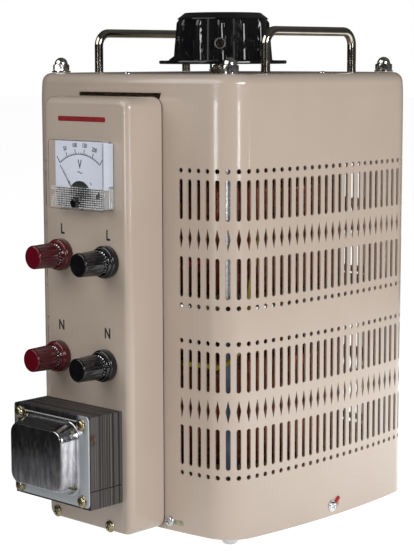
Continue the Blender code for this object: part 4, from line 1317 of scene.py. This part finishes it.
def meter_needle():
    """Boss and thin pointer with a short tail, and its red tip, on the needle's body."""
    place = Matrix.Translation((PIVOT_X, middle("meter_needle")[1] + 0.8 * MM, PIVOT_Z)) @ FRONT
    boss = lathe(mm((0, 0), (2, 0), (2.2, 0.3), (2.2, 1.2), (1.8, 1.6), (0, 1.6)), 32)
    aim = Matrix.Rotation(radians(SCALE_START), 4, "Z")
    low, high = mm(0.6, 0.95)

    def stretch(shape, start, end, half_start, half_end):
        part = bmesh.new()
        rings = []
        for x, half in ((start, half_start), (end, half_end)):
            top = half * 0.6
            rings.append([(x, -half, low), (x, half, low), (x, top, high), (x, -top, high)])
        skin(part, rings)
        part.transform(aim)
        shape.from_mesh(to_mesh("stretch", part))

    stretch(boss, *mm(-7, 26, 0.55, 0.24))
    place_piece("needle_pointer", boss, "bakelite", place, body="needle", node="meter_needle")
    tip = bmesh.new()
    stretch(tip, *mm(26.1, 36.8, 0.28, 0.16))
    place_piece("needle_tip", tip, "post_red", place, body="needle")


def zero_screw():
    """The slotted screw that sets the needle to zero."""
    low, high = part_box("meter_zero_screw")
    radius = half_width("meter_zero_screw")
    depth = high.y - low.y
    edge = zip(mm(0.7, 0.2, 0), mm(0, 0.25, 0.8))
    profile = [(0, depth), *((radius - inset, depth - drop) for inset, drop in edge), (radius, 0), (0, 0)]
    half_slot, slot_depth = mm(0.5, 1.1)
    slot_foot = (-2 * radius, -half_slot, depth - slot_depth)
    slot = turned_block(slot_foot, (2 * radius, half_slot, 2 * depth), radians(20))
    place = Matrix.Translation((PIVOT_X, high.y, PIVOT_Z)) @ FRONT
    shape = cut(lathe(profile, 40), slot)
    place_piece("zero_adjuster", shape, "bakelite", place, body="zero_screw", node="meter_zero_screw")


# ----------------------------------------------------------- the binding posts


def binding_post(name, slot):
    """Collar on the housing, and a knurled clamp ring and a fluted cap, each on its own body."""
    cap_node = "post_cap_" + name
    low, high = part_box(cap_node)
    x, _, z = middle(cap_node)
    place = at_front(x, z)
    bore = 3.35
    collar = lathe(mm(
        (bore, 0.3), (12.8, 0.3), (13, 0.6), (13, 5.4), (12.8, 6.1), (12.3, 6.6), (11.6, 6.9), (11.5, 9.2),
        (11.2, 9.7), (10.2, 9.8), (9.8, 9.5), (9.7, 6.7), (bore, 6.7),
    ), 64, close=True)
    place_piece("post_flange_" + name, collar, slot, place, node="post_collar_" + name)
    clamp = mm(
        (bore, 7), (8.6, 7), (8.7, 8.5), (9.1, 8.8), (9.2, 9.1), (9.2, 10.4), (8.9, 10.9), (8.3, 11.2),
        (bore, 11.2),
    )
    ring = lathe(clamp, 120, close=True, flutes=24, flute_depth=0.8 * MM, fluted=mm(9, 10.5))
    place_piece("post_ring_" + name, ring, "zinc", place, body="clamp_" + name, node="post_clamp_" + name)
    top = BOX_LOW.y - low.y
    back = BOX_LOW.y - high.y
    wide = half_width(cap_node)
    narrow = wide - 0.7 * MM
    ceiling = top - 2.8 * MM
    front = ((-2.4, 0), (-1.6, -0.05))
    round_edge = arc((narrow - 1.5 * MM, top - 1.55 * MM), 1.5 * MM, 80, 8, 5)
    throat = ((0, -1.9), (0.04, -2.6), (0.06, -3))
    skirt = ((-0.06, 2.6), (-0.03, 2.2), (0, 1.2), (-0.25, 0.3), (-0.7, 0))
    cap = [(0, top), *shifted(front, narrow, top), *round_edge, *shifted(throat, narrow, top)]
    cap += [*shifted(skirt, wide, back), (bore * MM, back), (bore * MM, ceiling), (0, ceiling)]
    shape = lathe(cap, 160, flutes=20, flute_depth=0.28 * MM, fluted=(back + 2.4 * MM, ceiling))
    place_piece("post_knob_" + name, shape, slot, place, body="cap_" + name, node=cap_node)


def shifted(steps, radius, height):
    """Profile points, given in millimetres from a place on the profile."""
    return [(radius + across, height + up) for across, up in mm(*steps)]


# ------------------------------------------------------------------ the choke


def choke_core():
    """Laminations: each is a pair of yokes and three limbs, with a little unevenness between them."""
    low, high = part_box("choke_core")
    unit = (high.x - low.x) / 6
    count = 56
    pitch = (high.y - low.y) / count
    joint, gap, margin, foot = mm(0.35, 0.07, 0.1, 0.15)
    chance = random.Random(11)
    shape = bmesh.new()
    for i in range(count):
        near = low.y + i * pitch + gap
        far = low.y + (i + 1) * pitch
        shift = chance.uniform(-0.16, 0.16) * MM
        rise = chance.uniform(-0.14, 0.06) * MM
        left, right = low.x + margin + shift, high.x - margin + shift
        yoke_foot = (left + shift * 0.4, near, low.z + rise + foot)
        box_into(shape, yoke_foot, (right - shift * 0.7, far, low.z + unit - joint))
        box_into(shape, (left, near, high.z - unit), (right, far, high.z + rise - margin))
        for start in (left, left + 2.5 * unit, right - unit):
            box_into(shape, (start, near, low.z + unit + joint), (start + unit, far, high.z - unit))
    place_piece("lamination_stack", shape, "core_steel", node="choke_core", angle=None, weld=False)


def bell_rings(inset):
    """The bell's rings from its flange to its flat front, moved inwards by the sheet's thickness."""
    low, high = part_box("choke_bell_cover")
    flange = high.y
    lift, corner, edge, round_foot, round_face, crown = mm(0.4, 3, 0.3, 2.2, 3.2, 0.12)
    x, _, z = middle("choke_bell_cover")
    half_x = (high.x - low.x) / 2
    half_z = (high.z - low.z) / 2
    rings = []

    def ring(reach_x, reach_z, radius, out, centre_z=z + lift):
        points = rounded_box(x - reach_x, x + reach_x, centre_z - reach_z, centre_z + reach_z, radius, 8, 6)
        rings.append([(px, flange - out, pz) for px, pz in points])

    sheet = 1.0 * MM
    if inset == 0:
        ring(half_x, half_z, corner, 0, z)
        ring(half_x, half_z, corner, 0.7 * MM, z)
        ring(half_x - edge, half_z - edge, corner, sheet, z)
    foot_x, foot_z, foot_corner, face_x, face_z, face_corner = (
        size - inset for size in mm(33.6, 29, 12, 29.4, 23.2, 7.5)
    )
    base = sheet if inset == 0 else 0.0
    top = flange - low.y - 0.15 * MM - inset
    for across, along in quarter_turn(4):
        grow = round_foot * along
        ring(foot_x + grow, foot_z + grow, foot_corner + grow, base + round_foot * across)
    reach = round_face * 0.62
    first_turn = radians(8)
    for step in range(9):
        turn = first_turn + (pi / 2 - first_turn) * step / 8
        back = reach * (1 - cos(turn))
        ring(face_x + reach - back, face_z + reach - back, face_corner + reach * cos(turn),
             top - round_face * (1 - sin(turn)))
    ring(face_x * 0.6, face_z * 0.6, face_corner * 0.6, top + crown)
    return rings


def bell_cover():
    """The pressed zinc cover over the choke's coil, with a row of small dashes along its flange, painted
    white as painted glints.
    """
    low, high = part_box("choke_bell_cover")
    shape = bmesh.new()
    skin(shape, bell_rings(0.9 * MM)[::-1] + bell_rings(0))
    # Paints light on the flange's right and lower parts.
    dull_flange(BELL_ZINC)
    place_piece("bell_cover", shape, "zinc", node="choke_bell_cover", look=BELL_ZINC, angle=50)
    marks = bmesh.new()
    count = 31
    first, step, width, height, below, back, front = mm(14.5, 2, 1.2, 0.9, 5.4, 0.95, 1.3)
    level = high.z - below
    for i in range(count):
        start = low.x + first + i * step
        box_into(marks, (start, high.y - front, level), (start + width, high.y - back, level + height))
    # The dashes are white: painted glints on the zinc.
    place_piece("bell_cover_glint_dashes", marks, "zinc", angle=None, look=WHITE_SLEEVE)


def choke_bolts():
    """A screw and washer on the flange at each corner, on its rod through the core."""
    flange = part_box("choke_bell_cover")[1].y - 1.3 * MM
    for end in ("lower_left", "lower_right", "upper_left", "upper_right"):
        node = "choke_bolt_" + end
        x, _, z = middle(node)
        shape = pan_screw(4.3 * MM, 2.4 * MM, washer=5 * MM, turn=0.4 + x * 30)
        radius, start = mm(2.2, 0.2)
        end_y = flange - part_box(node)[1].y
        rod = lathe([(0, start), (radius, start), (radius, end_y), (0, end_y)], 24)
        shape.from_mesh(to_mesh("rod", rod))
        place = Matrix.Translation((x, flange, z)) @ FRONT
        place_piece("clamp_screw_" + end, shape, "brass", place, node=node)


# ------------------------------------------------------------- inside the case


def windings():
    """The coils: a rounded ring of close turns round each core, with a bare track for the brush."""
    inner, corner, groove, flute, edge = mm(57, 9, 0.55, 0.3, 1)
    turns = 180
    segments = turns * 5
    for gang in GANGS:
        low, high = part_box("winding_" + gang)
        outer = high.x
        corners = (
            (outer - corner, low.z + corner, -90), (outer - corner, high.z - corner, 0),
            (inner + corner, high.z - corner, 90), (inner + corner, low.z + corner, 180),
        )
        section = [point for x, z, start in corners for point in arc((x, z), corner, start, start + 90, 5)]
        mid_radius = (outer + inner) / 2
        mid_z = (low.z + high.z) / 2
        rings = []
        for i in range(segments):
            angle = 2 * pi * i / segments
            dip = groove * (0.5 + 0.5 * cos(turns * angle)) ** 2
            ring = []
            for radius, z in section:
                reach = radius - dip if radius > mid_radius else radius + dip
                ring.append((reach * cos(angle), reach * sin(angle), z - dip if z > mid_z else z + dip))
            rings.append(ring)
        shape = bmesh.new()
        skin(shape, rings, close=True)
        place_piece("coil_" + gang, shape, "copper_wire", node="winding_" + gang, angle=50, weld=False)
        foot, top = high.z - edge, high.z - 0.1 * MM
        profile = list(zip(mm(71, 72, 93, 94), (foot, top, top, foot)))
        fluted = (high.z - 2 * MM, high.z)
        track = lathe(profile, turns * 4, close=True, flutes=turns, flute_depth=flute, fluted=fluted)
        place_piece("brush_track_" + gang, track, "copper_wire", look=BARE_COPPER)


def spacer_sleeves():
    """Tubes round the tie rods that hold the boards apart."""
    tray_top, gap, radius, edge, top_gap = mm(2.0, 0.3, 6.5, 0.3, 3)
    levels = []
    below = tray_top
    for gang in GANGS:
        low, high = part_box("support_plate_" + gang)
        levels.append((below + gap, low.z - gap))
        below = high.z
    levels.append((below + gap, CASE_TOP - top_gap))
    looks = (SLATE_SLEEVE, SLATE_SLEEVE, SPECKLED_ZINC)
    for end in CORNERS:
        node = "tie_rod_" + end
        x, y, _ = middle(node)
        bore = half_width(node) + 0.15 * MM
        for number, (start, stop) in enumerate(levels):
            profile = [
                (bore, start), (radius - edge, start), (radius, start + edge), (radius, stop - edge),
                (radius - edge, stop), (bore, stop),
            ]
            place_piece(f"spacer_{number}_{end}", lathe(profile, 32, close=True), "zinc",
                        Matrix.Translation((x, y, 0)), look=looks[number])


def wiring():
    """The loose wires that show through the vents, and a tie on one of them."""
    routes = (
        ("earth_wire", EARTH_SLEEVE, 2.0,
         ((-30, -112, 150), (10, -114, 141), (50, -113, 138), (84, -109, 138), (97, -109, 139),
          (108, -100, 150), (110, -92, 175), (109, -84, 210), (104, -70, 240))),
        ("live_wire", RED_SLEEVE, 1.9,
         ((20, -112, 205), (50, -113, 214), (72, -112, 221), (90, -108, 226), (104, -100, 232),
          (108, -86, 236))),
        ("brush_wire", RED_SLEEVE, 1.9,
         ((108, -60, 150), (110, -30, 160), (109, 10, 158), (108, 50, 165), (104, 80, 180))),
    )
    for name, look, radius, points in routes:
        place_piece(name, tube(smooth_path(mm(*points)), radius * MM, 12), "insulation", look=look)
    tie = lathe(mm((0, -2), (2.9, -2), (3.1, -1.4), (3.1, 1.4), (2.9, 2), (0, 2)), 24)
    place = Matrix.Translation(mm(108.5, -99, 152))
    place_piece("cable_tie", tie, "insulation", place, look=WHITE_SLEEVE)


def finish_cad_nodes():
    """The same finishes on every CAD node."""
    for row in frame["record"]["subparts"]:
        for socket in frame["nodes"][row["node"]].material_slots:
            socket.material = FINISHES[row["material_slot"]]


# --------------------------------------------------------------- the stage


def area_light(name, place, target, size, power):
    """A soft box that the camera doesn't see."""
    data = bpy.data.lights.new(name, "AREA")
    data.shape = "RECTANGLE"
    data.size, data.size_y = size
    data.energy = power
    made = add_object(name, data)
    made.location = place
    made.rotation_euler = (Vector(target) - Vector(place)).to_track_quat("-Z", "Y").to_euler()
    made.visible_camera = False


def add_camera():
    data = bpy.data.cameras.new("photo_camera")
    data.lens = LENS
    data.sensor_width = 36
    data.sensor_fit = "AUTO"
    made = add_object("photo_camera", data)
    level = cos(CAMERA_ELEVATION)
    back = Vector((sin(CAMERA_AZIMUTH) * level, -cos(CAMERA_AZIMUTH) * level, sin(CAMERA_ELEVATION)))
    right = (-back).cross(Vector((0, 0, 1))).normalized()
    up = right.cross(-back)
    turned_right = cos(CAMERA_ROLL) * right + sin(CAMERA_ROLL) * up
    turned_up = cos(CAMERA_ROLL) * up - sin(CAMERA_ROLL) * right
    made.matrix_world = Matrix((turned_right, turned_up, back)).transposed().to_4x4()
    made.location = CAMERA_PLACE
    bpy.context.scene.camera = made


BRIGHT_SIDE = (0.62, 0.78, 0.0)


def side_light(tree, direction, dark, light):
    """Brightness that grows towards the bright side of the room."""
    facing = add_node(tree, "VectorMath", {0: direction, 1: BRIGHT_SIDE}, operation="DOT_PRODUCT")
    return spread(tree, facing.outputs["Value"], dark, light, -0.6, 0.75, "SMOOTHSTEP")


def unless_seen(tree, strength, seen_strength):
    """A strength for light, and another for what the camera sees directly."""
    seen = add_node(tree, "LightPath").outputs["Is Camera Ray"]
    return add_node(tree, "Mix", {0: seen, 2: strength, 3: seen_strength}, data_type="FLOAT").outputs[0]


def add_world():
    """White behind the object; for its light, a dark room, a little brighter at the right rear and above."""
    world = bpy.data.worlds.new("studio")
    bpy.context.scene.world = world
    world.use_nodes = True
    tree = world.node_tree
    direction = add_node(tree, "TexCoord").outputs["Generated"]
    height = add_node(tree, "SeparateXYZ", {"Vector": direction}).outputs["Z"]
    overhead = spread(tree, height, 1.0, 1.6, 0.45, 0.75, "SMOOTHSTEP")
    glow = maths(tree, "MULTIPLY", side_light(tree, direction, 0.025, 0.07), overhead)
    background = tree.nodes["Background"]
    background.inputs["Color"].default_value = (1, 1, 1, 1)
    tree.links.new(unless_seen(tree, glow, 1.0), background.inputs["Strength"])


def add_floor():
    """Pale paper that lights the object from below on the bright side, less and less further out."""
    size = 12.0
    mesh = bpy.data.meshes.new("floor")
    corners = [(-size, -size), (size, -size), (size, size), (-size, size)]
    mesh.from_pydata([(x, y, CAD_BOX[0].z) for x, y in corners], [], [(0, 1, 2, 3)])
    paper, tree, shader = new_material("floor_paper")
    shader.inputs["Base Color"].default_value = (0.30, 0.30, 0.30, 1)
    shader.inputs["Roughness"].default_value = 0.9
    shader.inputs["Specular IOR Level"].default_value = 0.0
    shader.inputs["Emission Color"].default_value = (1, 1, 1, 1)
    place = add_node(tree, "TexCoord").outputs["Object"]
    sized = add_node(tree, "VectorMath", {0: place, "Scale": 1.3}, operation="SCALE").outputs["Vector"]
    away = add_node(tree, "VectorMath", {0: place}, operation="LENGTH").outputs["Value"]
    fade = spread(tree, away, 1.0, 0.03, 0.45, 1.5, "SMOOTHSTEP")
    glow = maths(tree, "MULTIPLY", side_light(tree, sized, 0.07, 1.9), fade)
    tree.links.new(unless_seen(tree, glow, 0.96), shader.inputs["Emission Strength"])
    mesh.materials.append(paper)
    add_object("floor", mesh)


def add_card(name, place, facing, width, height, shade):
    """A dark board out of sight of the camera, for the glossy faces to reflect."""
    across = Vector((-sin(facing), cos(facing), 0)) * width / 2
    foot = Vector(place)
    up = Vector((0, 0, height))
    mesh = bpy.data.meshes.new(name)
    corners = [foot - across, foot + across, foot + across + up, foot - across + up]
    mesh.from_pydata(corners, [], [(0, 1, 2, 3)])
    mesh.materials.append(surface(name, (shade,) * 3, (shade * 1.1,) * 3, (0.8, 0.9), blotch=3.0))
    made = add_object(name, mesh)
    made.visible_camera = False


def strip_light(name, centre, azimuth, width, low, high, radiance):
    """A narrow soft box that stands upright and faces a point, for one glint on the glossy edges round it."""
    distance = 1.2
    turn = radians(azimuth)
    foot = Vector((centre[0] + distance * cos(turn), centre[1] + distance * sin(turn), (low + high) / 2))
    area = width * (high - low)
    area_light(name, foot, (*centre, foot.z), (width, high - low), radiance * pi * area)


def add_lights():
    """Two large soft boxes, and strips for the glints on the case's corner, the chrome and the knob."""
    aim = (0, 0, 0.2)
    area_light("front_key", (-0.5, -1.7, 1.45), aim, (2.2, 1.4), 26)
    area_light("side_key", (2.0, -0.35, 1.0), aim, (0.9, 0.6), 22)
    near_corner = (0.11, -0.11)
    for name, azimuth, width, radiance in (("right", -16, 0.14, 12), ("front", -90, 0.22, 10)):
        strip_light("corner_glint_" + name, near_corner, azimuth, width, 0.16, 0.352, radiance)
        strip_light("chrome_glint_" + name, near_corner, azimuth, width * 0.4, 0.36, 0.56, 1.6)
    for name, azimuth in (("left", -117), ("right", 13)):
        strip_light("knob_glint_" + name, (0, 0), azimuth, 0.035, 0.216, 0.262, 14)


perforated_case()
terminal_cover()
fixing_screws()
panel_marks()
bar_handles()
acorn_nuts()
foot_nuts()
gland()
knob()
meter_dial()
meter_inside()
meter_window()
meter_grid()
meter_walls()
meter_needle()
zero_screw()
binding_post("input_live", "post_red")
binding_post("output_live", "post_black")
binding_post("input_neutral", "post_red")
binding_post("output_neutral", "post_black")
choke_core()
bell_cover()
choke_bolts()
windings()
spacer_sleeves()
wiring()
finish_cad_nodes()
add_camera()
add_world()
add_floor()
add_card("dark_card", (-0.20, -0.44, CAD_BOX[0].z), radians(-133), 0.50, 0.30, 0.02)
add_lights()
bpy.context.scene.view_settings.view_transform = "Standard"
